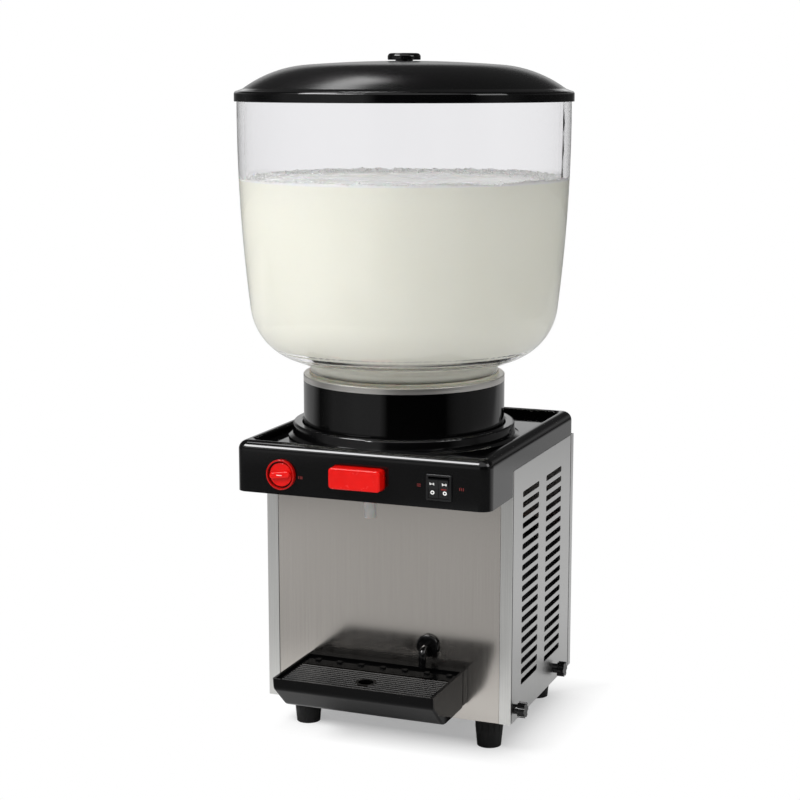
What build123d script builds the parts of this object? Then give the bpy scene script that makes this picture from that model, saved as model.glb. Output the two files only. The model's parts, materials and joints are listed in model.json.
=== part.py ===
from build123d import *

import math
import os

# A counter-top cold drink dispenser. Sizes are in millimetres, +Z is up and the front faces -Y.
# Every piece is drawn about the axis of the bowl, and moved at the end so that the origin lies on
# the floor under the middle of the whole object.

# Overall sizes
lid_radius = 175.0
bowl_height = 286.6
sleeve_radius = 106.2
sleeve_height = 61.7
body_width = 276.2
body_depth = 221.3
body_height = 269.5
foot_height = 35.0
fascia_reach = 125.0
fascia_overhang = 75.2

# Clearances
sheet_gap = 0.2
seam_gap = 0.5
seat_gap = 0.3
running_gap = 0.06
free_gap = 1.0

# Sheet metal
sheet = 1.2
base_sheet = 1.5
base_flange = 25.0
deck_flange = 15.0
front_recess = 0.6
post_width = 12.6
side_seam = 2.2
post_inner_leg = 12.0
rear_return = 9.5

# Louvres in each side panel
slot_length = 57.0
slot_height = 6.2
slot_round = 2.2
slot_pitch = 11.24
slot_columns = 2
slot_column_pitch = 83.0
slot_column_inset = 104.3
slot_top_drop = 31.0
slot_bottom_rise = 36.0

# Vents and screws in the rear panel
vent_length = 56.0
vent_height = 5.0
vent_round = 2.2
vent_pitch = 12.0
vent_rows = 11
vent_spread = 80.0
vent_top_drop = 40.0
screw_head_radius = 3.6
screw_head_height = 2.2
screw_radius = 2.0
screw_length = 7.0
screw_inset = 8.0
screw_drop = 8.0

# Feet
foot_side_inset = 33.1
foot_front_inset = 29.8
foot_rear_inset = 21.5
foot_top_radius = 14.8
foot_bottom_radius = 12.8
foot_collar = 14.0
foot_grooves = 14
foot_groove_radius = 1.2
foot_groove_stand = 0.4

# Star knobs
star_rise = 14.5
star_front_inset = 11.0
star_rear_inset = 65.5
star_neck_radius = 5.2
star_neck = 5.0
star_radius = 8.3
star_head = 8.0
star_lobes = 6
star_notch = 2.4
star_notch_stand = 0.2
star_stud_radius = 2.95
star_stud_end = 4.1

# Top cover
cover_side_lap = 0.2
cover_wall = 3.0
cover_corner = 12.0
skirt_height = 26.0
fascia_height = 52.8
rim_width = 13.5
rim_round = 10.0
rim_inner_round = 3.0
rim_depth = 7.5
recess_corner = 9.0
collar_height = 17.3
collar_wall = 9.8
collar_base_lap = 5.5
collar_base_height = 3.5
collar_waist = 2.2
collar_round = 2.4
boss_radius = 6.0
boss_inset = 18.0
underside_thickness = 1.5
underside_recess = 0.5

# Cooled pot, sleeve and insulation
sleeve_wall = 2.3
pot_sheet = 1.5
pot_band_height = 6.8
pot_band_round = 1.2
pot_sink = 4.5
pot_spindle_radius = 3.0
pot_spindle_height = 22.0
coil_tube = 8.0
coil_turns = 6
coil_bond = 0.5
foam_thickness = 3.8
gasket_thickness = 2.4
gasket_width = 9.0

# Bowl
bowl_wall = 7.0
neck_inset = 7.2
bowl_mid_inset = 3.6
bowl_mid_height = 152.0
bowl_corner_inset = 11.6
bowl_corner_height = 66.6
bowl_corner_round = 62.0
bowl_wall_lean = 6.6
bowl_base_lean = 70.0
bowl_rim_round = 1.7

# Lid
lid_gap = 0.8
lid_wall = 3.0
lid_skirt_drop = 6.5
lid_skirt_wall = 2.0
lid_rim_height = 4.2
lid_rim_round = 3.2
lid_dome_inset = 9.0
lid_dome_height = 6.4
lid_dome_lap = 6.0
lid_mid_inset = 39.0
lid_mid_height = 22.6
lid_shoulder_lap = 1.5
lid_crown_inset = 75.0
lid_crown_height = 30.5
lid_top_height = 34.4
knob_radius = 17.0
knob_height = 6.8
knob_round = 3.4
knob_foot_round = 0.8
knob_stem_radius = 9.0
knob_stem = 0.9
knob_seat_gap = 0.05
knob_stud_radius = 3.0
knob_stud_reach = 6.0
nut_sides = 6
nut_radius = 5.2
nut_height = 2.6

# Impeller and its drive
impeller_radius = 34.0
impeller_disc = 4.0
impeller_hub_radius = 9.0
impeller_height = 20.0
impeller_blades = 4
impeller_blade = 2.5
impeller_blade_height = 13.0
magnet_radius = 32.0
magnet_thickness = 5.0
magnet_gap = 2.0
shaft_radius = 4.0
shaft_seat = 14.5
shaft_hole_radius = 10.0
mixer_motor_radius = 32.0
mixer_motor_height = 58.0
mixer_motor_round = 6.4
deck_drop = 1.0

# Dispense button and pinch valve
button_x = -0.5
button_width = 56.0
button_height = 22.0
button_reach = 13.0
button_corner = 4.0
button_edge_round = 2.0
button_rise = 24.4
button_flange_lap = 3.0
button_flange = 2.0
hose_x = -4.5
hose_radius = 6.2
hose_bore = 4.0
hose_drop = 25.5
outlet_inset = 6.0
outlet_drop = 14.0
outlet_wall = 1.0
yoke_bar = 4.0
yoke_height = 8.0
yoke_side_gap = 4.0
yoke_plate = 2.0
anvil_half_width = 9.0
anvil_thickness = 2.2
spring_radius = 5.0
spring_wire = 1.0
spring_turns = 8

# Thermostat
thermostat_x = -85.6
control_rise = 21.4
bezel_wall = 1.6
bezel_reach = 4.2
bezel_round = 0.7
dial_rim_gap = 1.7
dial_radius = 12.4
dial_thickness = 2.0
dial_gap = 0.4
dial_edge_round = 1.0
grip_length = 23.0
grip_width = 7.0
grip_reach = 3.6
grip_round = 1.7
grip_tilt = 8.0
dial_shaft_radius = 3.0
dial_shaft_length = 22.0
thermostat_width = 30.0
thermostat_height = 28.0
thermostat_depth = 24.0

# Twin rocker switch
switch_x = 85.8
switch_width = 27.0
switch_height = 26.4
switch_bezel = 2.0
switch_bezel_round = 1.6
switch_edge_round = 0.7
switch_body_inset = 1.6
switch_body_depth = 22.0
switch_wall = 0.9
switch_end_wall = 0.6
rocker_gap = 0.4
rocker_end_gap = 1.4
rocker_crest = 7.0
rocker_dip = 6.0
rocker_back = 3.0
rocker_tilt = 9.0
rocker_pocket_depth = 8.0
rocker_pin_radius = 1.2
rocker_pin_seat = 0.6

# Drip tray, grid and hanger
tray_width = 176.0
tray_wall = 2.5
tray_rise = 54.2
tray_back = 6.7
tray_depth = 92.5
tray_lip = 11.5
tray_lip_lean = 1.6
tray_lip_round = 8.0
tray_slope_foot = 33.5
tray_slope_round = 25.0
tray_end_round = 2.4
tray_floor_drop = 40.0
tray_corner = 3.0
ledge_depth = 20.0
ledge_drop = 2.6
ledge_thickness = 2.4
ledge_studs = 7
ledge_stud_pitch = 24.7
ledge_stud_x = 3.0
ledge_stud_radius = 3.4
ledge_stud_rise = 1.7
grid_gap = 0.7
grid_thickness = 4.0
grid_frame = 3.0
grid_slats = 10
grid_slat = 2.6
grid_slat_round = 1.15
grid_ribs = (-38.0, 5.0, 48.0)
grid_rib = 2.4
grid_rib_drop = 1.0
grid_ring_x = 3.5
grid_ring_inset = 31.4
grid_ring_radius = 11.0
grid_ring_bore = 8.0
shelf_width = 3.0
shelf_thickness = 3.0
hanger_drop = 0.3
hanger_height = 37.0
tongue_x = 60.0
tongue_width = 12.0
tongue_thickness = 2.5
tongue_drop = 20.0
tongue_reach = 56.0

# Drain elbow
drain_x = 46.8
drain_rise = 76.2
drain_radius = 3.8
drain_bore = 2.6
drain_bend = 8.0
drain_reach = 18.8
drain_tip_gap = 3.3
drain_flange_radius = 12.2
drain_flange_reach = 4.6
drain_flange_round = 1.8

# Cooling machinery
compressor_side_gap = 15.2
compressor_inset = 119.8
compressor_width = 124.0
compressor_depth = 104.0
compressor_height = 138.0
compressor_corner = 50.0
compressor_round = 26.0
compressor_wall = 11.0
compressor_plate = 3.0
compressor_plate_lap = 12.0
mount_height = 11.0
mount_radius = 9.0
condenser_inset = 101.8
condenser_depth = 145.0
condenser_thickness = 38.0
condenser_height = 180.0
condenser_gap = 5.0
condenser_end = 1.5
fin_thickness = 0.8
fin_count = 20
condenser_tubes = 5
condenser_tube_radius = 4.0
shroud_thickness = 2.0
fan_edge = 14.5
fan_clearance = 4.0
fan_hub_radius = 17.0
fan_hub = 14.0
fan_blades = 5
fan_blade_thickness = 1.6
fan_blade_width = 30.0
fan_blade_pitch = 32.0
fan_root_lap = 3.2
fan_shaft_radius = 2.5
fan_setback = 12.0
fan_motor_radius = 21.0
fan_motor_length = 26.0
strap_thickness = 2.0
strap_width = 20.0
strap_lap = 8.0
line_radius = 3.2
line_bend = 10.0
line_hole_gap = 0.8
line_stub = 18.0
suction_offset = 12.3

# Cord gland
gland_side_inset = 43.1
gland_rise = 39.0
gland_flange_radius = 10.0
gland_flange = 3.0
gland_stem_radius = 7.5
gland_stem = 8.5
gland_bore = 4.2
gland_nut_radius = 11.0
gland_nut = 6.0
gland_neck_radius = 6.5

# Levels worked out from the sizes above
body_low = foot_height
body_top = body_low + body_height
skirt_low = body_top + seam_gap
rim_top = skirt_low + skirt_height
fascia_low = rim_top - fascia_height
floor_top = rim_top - rim_depth
floor_low = floor_top - cover_wall
collar_top = floor_top + collar_height
sleeve_top = floor_top + sleeve_height
pot_top = sleeve_top + pot_band_height
pot_floor = floor_low - pot_sink
pot_low = pot_floor - pot_sheet
bowl_low = pot_top + gasket_thickness
bowl_top = bowl_low + bowl_height
lid_low = bowl_top - lid_skirt_drop
lid_top = bowl_top + lid_top_height
deck_top = body_top - deck_drop
deck_low = deck_top - base_sheet
base_top = body_low + base_sheet
control_height = fascia_low + control_rise
button_level = fascia_low + button_rise
underside_low = fascia_low + underside_recess
underside_top = underside_low + underside_thickness
star_height = body_low + star_rise
gland_height = body_low + gland_rise
drain_height = body_low + drain_rise
tray_top = body_low + tray_rise
tray_low = tray_top - tray_floor_drop
ledge_top = tray_top - ledge_drop
grid_top = ledge_top
grid_low = grid_top - grid_thickness

# Faces and places worked out from the sizes above
body_half = body_width / 2
cover_half = body_half + cover_side_lap
fascia_front = -fascia_reach
fascia_back = fascia_front + cover_wall
body_front = fascia_front + fascia_overhang
body_rear = body_front + body_depth
cover_depth = body_rear - fascia_front
cover_middle = (body_rear + fascia_front) / 2
wrap_end = body_front - seat_gap
panel_front = body_front + front_recess
panel_back = panel_front + sheet
base_front = panel_back + sheet_gap
base_rear = body_rear - sheet - sheet_gap
base_half = body_half - sheet - sheet_gap
side_front = body_front + sheet + side_seam
side_rear = body_rear - rear_return - side_seam
slot_column_middle = body_front + slot_column_inset
slot_rows = 1 + int((body_height - slot_top_drop - slot_bottom_rise) / slot_pitch)
foot_x = body_half - foot_side_inset
star_places = (body_front + star_front_inset, body_rear - star_rear_inset)
star_stud_reach = sheet + sheet_gap + base_sheet + star_stud_end
gland_x = body_half - gland_side_inset
rear_reach = body_rear + gland_flange + gland_stem
axis_y = (lid_radius - rear_reach) / 2
tray_rear = panel_front - tray_back
tray_front = tray_rear - tray_depth
grid_ring_y = tray_front + grid_ring_inset

# Round sizes that fit one another, from the sleeve inwards and from the lid inwards
collar_bore = sleeve_radius + free_gap
collar_top_radius = collar_bore + collar_wall
collar_base_radius = collar_top_radius + collar_base_lap
pot_radius = sleeve_radius - sleeve_wall - foam_thickness - coil_tube - 3 * sheet_gap
outlet_radius = hose_bore - running_gap
hose_y = outlet_inset + pot_sheet - pot_radius
neck_radius = sleeve_radius - neck_inset
bowl_rim_radius = lid_radius - lid_skirt_wall - lid_gap
bowl_mid_radius = bowl_rim_radius - bowl_mid_inset
bowl_corner_top_radius = bowl_rim_radius - bowl_corner_inset
lid_dome_radius = lid_radius - lid_dome_inset
lid_mid_radius = lid_radius - lid_mid_inset
lid_crown_radius = lid_radius - lid_crown_inset

# Control sizes that fit one another
bezel_bore = dial_radius + dial_rim_gap
bezel_radius = bezel_bore + bezel_wall
yoke_half_gap = anvil_half_width + yoke_side_gap
rocker_pocket_half = switch_width / 2 - switch_body_inset - switch_wall
rocker_pocket_half_height = switch_height / 2 - switch_body_inset - switch_end_wall
rocker_width = rocker_pocket_half - rocker_gap - rocker_gap / 2
rocker_half_height = rocker_pocket_half_height - rocker_end_gap

# Machinery sizes that fit one another
compressor_x = (base_sheet - base_half + compressor_side_gap
                + (compressor_width + compressor_plate_lap) / 2)
compressor_y = body_front + compressor_inset
condenser_y = body_front + condenser_inset
fan_radius = condenser_depth / 2 - fan_edge
strap_half_span = fan_radius + fan_clearance + strap_lap


def block(x, y, z):
    """A box between its lowest and highest x, y and z."""
    size = Box(x[1] - x[0], y[1] - y[0], z[1] - z[0])
    return Pos((x[0] + x[1]) / 2, (y[0] + y[1]) / 2, (z[0] + z[1]) / 2) * size


def disc(radius, low, high, x=0, y=0):
    """An upright cylinder between two heights."""
    base = (Align.CENTER, Align.CENTER, Align.MIN)
    return Pos(x, y, low) * Cylinder(radius, high - low, align=base)


def ring(outer, inner, low, high, x=0, y=0):
    """An upright tube between two heights."""
    return disc(outer, low, high, x, y) - disc(inner, low, high, x, y)


def rod_back(radius, front, back, x, z):
    """A cylinder that runs from front to back."""
    base = (Align.CENTER, Align.CENTER, Align.MIN)
    return Pos(x, front, z) * Rot(-90, 0, 0) * Cylinder(radius, back - front, align=base)


def rod_across(radius, left, right, y, z):
    """A cylinder that runs from left to right."""
    base = (Align.CENTER, Align.CENTER, Align.MIN)
    return Pos(left, y, z) * Rot(0, 90, 0) * Cylinder(radius, right - left, align=base)


def facing_front(sketch, front, back):
    """A sketch drawn in x and z, given its thickness from front to back."""
    return Pos(0, back, 0) * extrude(Plane.XZ * sketch, back - front)


def facing_side(sketch, left, right):
    """A sketch drawn in y and z, given its thickness from left to right."""
    return Pos(left, 0, 0) * extrude(Plane.YZ * sketch, right - left)


def turned(edges):
    """A solid of revolution about the bowl's axis, from edges drawn in radius and height."""
    return revolve(Plane.XZ * make_face(edges), Axis.Z)


def mirrored(piece):
    """The same piece on the other side of the machine."""
    return mirror(piece, about=Plane.YZ)


def edges_at_height(piece, height):
    """The edges of a piece that lie level at one height."""
    margin = 0.01
    return piece.edges().filter_by_position(Axis.Z, height - margin, height + margin)


# Cabinet


def base_tray():
    width = (-base_half, base_half)
    depth = (base_front, base_rear)
    tray = block(width, depth, (body_low, body_low + base_flange))
    inner_half = base_half - base_sheet
    inner_depth = (base_front + base_sheet, base_rear - base_sheet)
    tray -= block((-inner_half, inner_half), inner_depth, (base_top, body_low + base_flange))
    post_room = post_width + sheet_gap + sheet
    for side in (-1, 1):
        corner = (side * base_half, side * (body_half - post_room))
        notch = block((min(corner), max(corner)), (base_front, base_front + post_inner_leg + sheet),
                      (base_top, body_low + base_flange))
        tray -= notch
    for y in star_places:
        tray -= rod_across(star_stud_radius + running_gap, 0, body_half, y, star_height)
    return tray - screw_bores()


def front_post():
    """The right-hand corner post: a strip in front and a leg bent back along its inner edge."""
    strip = block((body_half - post_width, body_half), (body_front, body_front + sheet),
                  (body_low, body_top))
    inner_x = body_half - post_width
    inner = block((inner_x, inner_x + sheet), (body_front, body_front + post_inner_leg),
                  (base_top + sheet_gap, deck_low - sheet_gap))
    return strip + inner


def front_panel():
    half = body_half - post_width - seam_gap
    panel = block((-half, half), (panel_front, panel_back), (body_low, deck_low - sheet_gap))
    return panel - rod_back(drain_radius + sheet_gap, panel_front, panel_back, drain_x, drain_height)


def slot_places():
    """The middle of every louvre slot, as y and z."""
    first = slot_column_middle - slot_column_pitch * (slot_columns - 1) / 2
    for column in range(slot_columns):
        for row in range(slot_rows):
            yield first + column * slot_column_pitch, body_top - slot_top_drop - row * slot_pitch


def side_panel():
    """The right-hand side panel with its two columns of slots, not yet drilled for the star knobs."""
    depth = side_rear - side_front
    height = body_top - body_low
    outline = Pos((side_front + side_rear) / 2, body_low + height / 2) * Rectangle(depth, height)
    slot = RectangleRounded(slot_length, slot_height, slot_round)
    outline -= [Pos(y, z) * slot for y, z in slot_places()]
    return facing_side(outline, body_half - sheet, body_half)


def stud_holes():
    """The holes for the star knobs, in the right-hand side panel only."""
    bore = star_stud_radius + seat_gap
    return [rod_across(bore, body_half - sheet, body_half, y, star_height) for y in star_places]


def vent_places():
    for column in (-1, 1):
        for row in range(vent_rows):
            yield column * vent_spread / 2, body_top - vent_top_drop - row * vent_pitch


def screw_places():
    """The middle of every rear screw, as x and z: a row along the base and a row along the deck."""
    reach = body_half - screw_inset
    for z in (body_low + base_flange / 2, body_top - screw_drop):
        for x in (-reach, 0, reach):
            yield x, z


def screw_bores():
    """The threaded holes for the rear screws, in the flanges behind the rear panel."""
    bore = screw_radius + running_gap
    return [rod_back(bore, base_rear - base_sheet, base_rear, x, z) for x, z in screw_places()]


def rear_panel():
    height = body_top - body_low
    outline = Pos(0, body_low + height / 2) * Rectangle(body_width, height)
    outline -= [Pos(x, z) * RectangleRounded(vent_length, vent_height, vent_round)
                for x, z in vent_places()]
    outline -= [Pos(x, z) * Circle(screw_radius + sheet_gap) for x, z in screw_places()]
    outline -= Pos(gland_x, gland_height) * Circle(gland_neck_radius + sheet_gap)
    panel = facing_front(outline, body_rear - sheet, body_rear)
    for side in (-1, 1):
        faces = (side * body_half, side * (body_half - sheet))
        panel += block((min(faces), max(faces)), (body_rear - rear_return, body_rear),
                       (body_low, body_top))
    return panel


def rear_screws():
    screws = []
    for x, z in screw_places():
        head = rod_back(screw_head_radius, body_rear, body_rear + screw_head_height, x, z)
        head = fillet(head.edges().sort_by(Axis.Y)[-1], screw_head_height / 2)
        screws.append(head + rod_back(screw_radius, body_rear - screw_length, body_rear, x, z))
    return Compound(children=screws)


def deck_plate():
    width = (-base_half, base_half)
    deck = block(width, (base_front, base_rear), (deck_low, deck_top))
    deck += block(width, (base_rear - base_sheet, base_rear), (deck_low - deck_flange, deck_low))
    deck -= screw_bores()
    deck -= disc(shaft_hole_radius, deck_low, deck_top)
    return deck - suction_bore(deck_low, deck_top)


def foot():
    """A ribbed rubber foot, drawn at the origin."""
    waist = foot_height - foot_collar
    body = Cone(foot_bottom_radius, foot_top_radius, waist, align=(Align.CENTER, Align.CENTER, Align.MIN))
    body += disc(foot_top_radius, waist, foot_height)
    reach = foot_top_radius + foot_groove_stand
    for groove in range(foot_grooves):
        angle = 2 * math.pi * groove / foot_grooves
        body -= disc(foot_groove_radius, 0, foot_height - foot_groove_radius,
                     reach * math.cos(angle), reach * math.sin(angle))
    return body


def star_knob(y):
    """The star knob at one place along the right-hand side."""
    neck_end = body_half + sheet_gap + star_neck
    outline = Circle(star_radius)
    for lobe in range(star_lobes):
        angle = math.radians(360 * (lobe + 0.5) / star_lobes)
        reach = star_radius + star_notch_stand
        outline -= Pos(reach * math.cos(angle), reach * math.sin(angle)) * Circle(star_notch)
    head = facing_side(Pos(y, star_height) * outline, neck_end, neck_end + star_head)
    neck = rod_across(star_neck_radius, body_half + sheet_gap, neck_end, y, star_height)
    stud = rod_across(star_stud_radius, body_half - star_stud_reach, body_half + sheet_gap, y, star_height)
    return head + neck + stud


# Top cover


def cover_plan(inset, corner):
    return RectangleRounded(2 * (cover_half - inset), cover_depth - 2 * inset, corner)


def top_cover():
    place = Pos(0, cover_middle, 0)
    shell = place * Pos(0, 0, fascia_low) * extrude(cover_plan(0, cover_corner), fascia_height)
    shell = fillet(edges_at_height(shell, rim_top), rim_round)
    inside = cover_plan(cover_wall, cover_corner - cover_wall)
    shell -= place * Pos(0, 0, fascia_low) * extrude(inside, floor_low - fascia_low)
    recess = cover_plan(rim_width, recess_corner)
    shell -= place * Pos(0, 0, floor_top) * extrude(recess, rim_depth)
    shell -= block((-body_width, body_width), (wrap_end, 2 * body_rear), (fascia_low, skirt_low))
    shell = fillet(inner_rim_edges(shell), rim_inner_round)
    shell += collar()
    for x in (-1, 1):
        for y in (body_front + boss_inset, body_rear - boss_inset):
            shell += disc(boss_radius, deck_top, floor_low, x * (body_half - boss_inset), y)
    shell -= disc(pot_radius + free_gap, floor_low, floor_top)
    shell -= suction_bore(floor_low, floor_top)
    return shell - fascia_openings()


def inner_rim_edges(shell):
    """The edges of the rim on the side of the recessed floor."""
    margin = 0.1
    half = cover_half - rim_width + margin
    half_depth = cover_depth / 2 - rim_width + margin

    def inside(edge):
        middle = edge.position_at(0.5)
        return abs(middle.X) < half and abs(middle.Y - cover_middle) < half_depth

    return edges_at_height(shell, rim_top).filter_by(inside)


def collar():
    bore = collar_bore
    low = floor_top - cover_wall / 2
    base_top_height = floor_top + collar_base_height
    waist_radius = collar_top_radius + collar_waist / 2
    outline = Polyline((bore, low), (collar_base_radius, low), (collar_base_radius, base_top_height),
                       (waist_radius, base_top_height + collar_waist), (collar_top_radius, collar_top),
                       (bore, collar_top), close=True)
    wall = turned(outline)
    return fillet(edges_at_height(wall, collar_top), collar_round)


def fascia_openings():
    button = RectangleRounded(button_width + 2 * free_gap, button_height + 2 * free_gap,
                              button_corner + free_gap)
    switch = Rectangle(switch_width - 2 * switch_body_inset + 2 * sheet_gap,
                       switch_height - 2 * switch_body_inset + 2 * sheet_gap)
    openings = facing_front(Pos(button_x, button_level) * button, fascia_front, fascia_back)
    openings += facing_front(Pos(switch_x, control_height) * switch, fascia_front, fascia_back)
    openings += rod_back(dial_shaft_radius + free_gap, fascia_front, fascia_back,
                         thermostat_x, control_height)
    return openings


def underside_plate():
    inset = cover_wall + sheet_gap
    front = fascia_front + inset
    rear = wrap_end - sheet_gap
    plate = RectangleRounded(2 * (cover_half - inset), rear - front, cover_corner - inset)
    plate = Pos(0, (front + rear) / 2, underside_low) * extrude(plate, underside_thickness)
    return plate - disc(hose_radius + sheet_gap, underside_low, underside_top, hose_x, hose_y)


# Cooled pot


def suction_place():
    """Where the suction line leaves the foot of the evaporator coil, as x and y."""
    reach = pot_radius + sheet_gap + coil_tube / 2
    x = compressor_x + suction_offset
    return x, math.sqrt(reach ** 2 - x ** 2)


def suction_bore(low, high):
    x, y = suction_place()
    return disc(line_radius + line_hole_gap, low, high, x, y)


def evaporator_pot():
    inner = pot_radius - pot_sheet
    flange = pot_top - pot_sheet
    outline = Polyline((0, pot_low), (pot_radius, pot_low), (pot_radius, flange),
                       (sleeve_radius - pot_sheet, flange), (sleeve_radius - pot_sheet, sleeve_top),
                       (sleeve_radius, sleeve_top), (sleeve_radius, pot_top), (inner, pot_top),
                       (inner, pot_floor), (0, pot_floor), close=True)
    pot = turned(outline)
    band_edge = edges_at_height(pot, pot_top).sort_by(SortBy.LENGTH)[-1]
    pot = fillet(band_edge, pot_band_round)
    pot += disc(pot_spindle_radius, pot_floor, pot_floor + pot_spindle_height)
    pot += disc(outlet_radius, pot_low - outlet_drop, pot_low, hose_x, hose_y)
    return pot - disc(outlet_radius - outlet_wall, pot_low - outlet_drop, pot_floor, hose_x, hose_y)


def pot_sleeve():
    return ring(sleeve_radius, sleeve_radius - sleeve_wall, floor_top, sleeve_top)


def evaporator_coil():
    """The turns of copper tube bonded round the pot, as one scalloped jacket."""
    inner = pot_radius + sheet_gap
    low = floor_top + coil_tube / 2
    waist = inner + coil_tube / 2 + coil_bond
    crest = inner + coil_tube
    edges = [Line((inner, low + coil_turns * coil_tube), (inner, low)), Line((inner, low), (waist, low))]
    for turn in range(coil_turns):
        foot_of_turn = low + turn * coil_tube
        edges.append(ThreePointArc((waist, foot_of_turn), (crest, foot_of_turn + coil_tube / 2),
                                   (waist, foot_of_turn + coil_tube)))
    top = low + coil_turns * coil_tube
    edges.append(Line((waist, top), (inner, top)))
    return turned(edges)


def foam_jacket():
    outer = sleeve_radius - sleeve_wall - sheet_gap
    return ring(outer, outer - foam_thickness, floor_top, sleeve_top - pot_sheet)


def bowl_gasket():
    return ring(neck_radius + free_gap, neck_radius + free_gap - gasket_width, pot_top, bowl_low)


# Bowl and lid


def bowl_side(inset):
    """The bowl's side from neck to rim, drawn in radius and height, set in from the outside."""
    lean = math.radians(bowl_wall_lean)
    base_lean = math.radians(bowl_base_lean)
    corner_z = bowl_low + bowl_corner_height
    centre = (bowl_corner_top_radius - bowl_corner_round * math.cos(lean),
              corner_z + bowl_corner_round * math.sin(lean))
    bend = bowl_corner_round - inset

    def on_corner(angle):
        return (centre[0] + bend * math.cos(angle), centre[1] - bend * math.sin(angle))

    neck = neck_radius - inset
    base_end = on_corner(base_lean)
    neck_top = base_end[1] - (base_end[0] - neck) / math.tan(base_lean)
    wall_foot = on_corner(lean)
    middle = (bowl_mid_radius - inset, bowl_low + bowl_mid_height)
    rim = (bowl_rim_radius - inset, bowl_top)
    return [Line((neck, bowl_low), (neck, neck_top)), Line((neck, neck_top), base_end),
            ThreePointArc(base_end, on_corner((lean + base_lean) / 2), wall_foot),
            ThreePointArc(wall_foot, middle, rim)]


def bowl():
    outer = bowl_side(0)
    inner = bowl_side(bowl_wall)
    closing = [Line(outer[0] @ 0, inner[0] @ 0), Line(outer[-1] @ 1, inner[-1] @ 1)]
    shell = turned(outer + inner + closing)
    return fillet(edges_at_height(shell, bowl_top), bowl_rim_round)


def lid():
    seat = bowl_top
    rim_height = seat + lid_rim_height
    dome = (lid_dome_radius, seat + lid_dome_height)
    crown = (lid_crown_radius, seat + lid_crown_height)
    middle = (lid_mid_radius, seat + lid_mid_height)
    skirt_inner = lid_radius - lid_skirt_wall
    inner_dome = (lid_dome_radius - lid_dome_lap, seat)
    inner_middle = (lid_mid_radius - lid_shoulder_lap, middle[1] - lid_wall)
    inner_crown = (lid_crown_radius, crown[1] - lid_wall)
    round_start = (lid_radius - lid_rim_round, rim_height)
    round_mid = (lid_radius - lid_rim_round * (1 - math.sqrt(0.5)),
                 rim_height - lid_rim_round * (1 - math.sqrt(0.5)))
    round_end = (lid_radius, rim_height - lid_rim_round)
    edges = [
        crown_arc(lid_top, crown),
        ThreePointArc(crown, middle, dome),
        Line(dome, round_start),
        ThreePointArc(round_start, round_mid, round_end),
        Polyline(round_end, (lid_radius, lid_low), (skirt_inner, lid_low), (skirt_inner, seat), inner_dome),
        ThreePointArc(inner_dome, inner_middle, inner_crown),
        crown_arc(lid_top - lid_wall, inner_crown),
        Line((0, lid_top - lid_wall), (0, lid_top)),
    ]
    return turned(edges) - disc(knob_stud_radius + seat_gap, seat, lid_top)


def crown_arc(top, end):
    """A shallow arc from the axis to a point on the dome: half way out it has a quarter of its fall."""
    return ThreePointArc((0, top), (end[0] / 2, top - (top - end[1]) / 4), end)


def lid_knob():
    foot_of_stem = lid_top + knob_seat_gap
    puck_low = foot_of_stem + knob_stem
    puck_top = puck_low + knob_height
    puck = disc(knob_radius, puck_low, puck_top)
    puck = fillet(edges_at_height(puck, puck_top), knob_round)
    puck = fillet(edges_at_height(puck, puck_low), knob_foot_round)
    stem = disc(knob_stem_radius, foot_of_stem, puck_low)
    return puck + stem + disc(knob_stud_radius, lid_top - knob_stud_reach - lid_wall, foot_of_stem)


def lid_nut():
    top = lid_top - lid_wall - sheet_gap
    nut = Pos(0, 0, top - nut_height) * extrude(RegularPolygon(nut_radius, nut_sides), nut_height)
    return nut - disc(knob_stud_radius + running_gap, top - nut_height, top)


# Impeller and its drive


def impeller():
    low = pot_floor + free_gap
    disc_top = low + impeller_disc
    rotor = disc(impeller_radius, low, disc_top)
    rotor += disc(impeller_hub_radius, low, low + impeller_height)
    reach = impeller_radius - free_gap
    blade = block((0, reach), (-impeller_blade / 2, impeller_blade / 2),
                  (disc_top, disc_top + impeller_blade_height))
    rotor += [Rot(0, 0, 360 * turn / impeller_blades) * blade for turn in range(impeller_blades)]
    return rotor - disc(pot_spindle_radius + running_gap, low, low + impeller_height)


def drive_magnet():
    top = pot_low - magnet_gap
    magnet = disc(magnet_radius, top - magnet_thickness, top)
    return magnet + disc(shaft_radius, deck_low - shaft_seat, top)


def mixer_motor():
    low = deck_low - mixer_motor_height
    case = disc(mixer_motor_radius, low, deck_low)
    case = fillet(edges_at_height(case, low), mixer_motor_round)
    return case - disc(shaft_radius + running_gap, deck_low - shaft_seat - free_gap, deck_low)


# Dispense button and pinch valve


def dispense_button():
    cap_front = fascia_front - button_reach
    flange_front = fascia_back + seat_gap
    face = RectangleRounded(button_width, button_height, button_corner)
    cap = facing_front(face, cap_front, flange_front)
    cap = fillet(cap.edges().filter_by_position(Axis.Y, cap_front, cap_front), button_edge_round)
    flange = RectangleRounded(button_width + 2 * button_flange_lap, button_height + button_flange_lap,
                              button_corner)
    cap += facing_front(flange, flange_front, flange_front + button_flange)
    return Pos(button_x, 0, button_level) * cap


def yoke_front():
    return fascia_back + seat_gap + button_flange


def yoke_back():
    return hose_y + hose_radius + seat_gap


def pinch_yoke():
    half = yoke_half_gap + yoke_bar
    outer = (hose_x - half, hose_x + half)
    height = (button_level - yoke_height / 2, button_level + yoke_height / 2)
    frame = block(outer, (yoke_front(), yoke_back() + yoke_bar), height)
    inner = (hose_x - yoke_half_gap, hose_x + yoke_half_gap)
    return frame - block(inner, (yoke_front() + yoke_plate, yoke_back()), height)


def anvil_back():
    return hose_y - hose_radius - seat_gap


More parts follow.
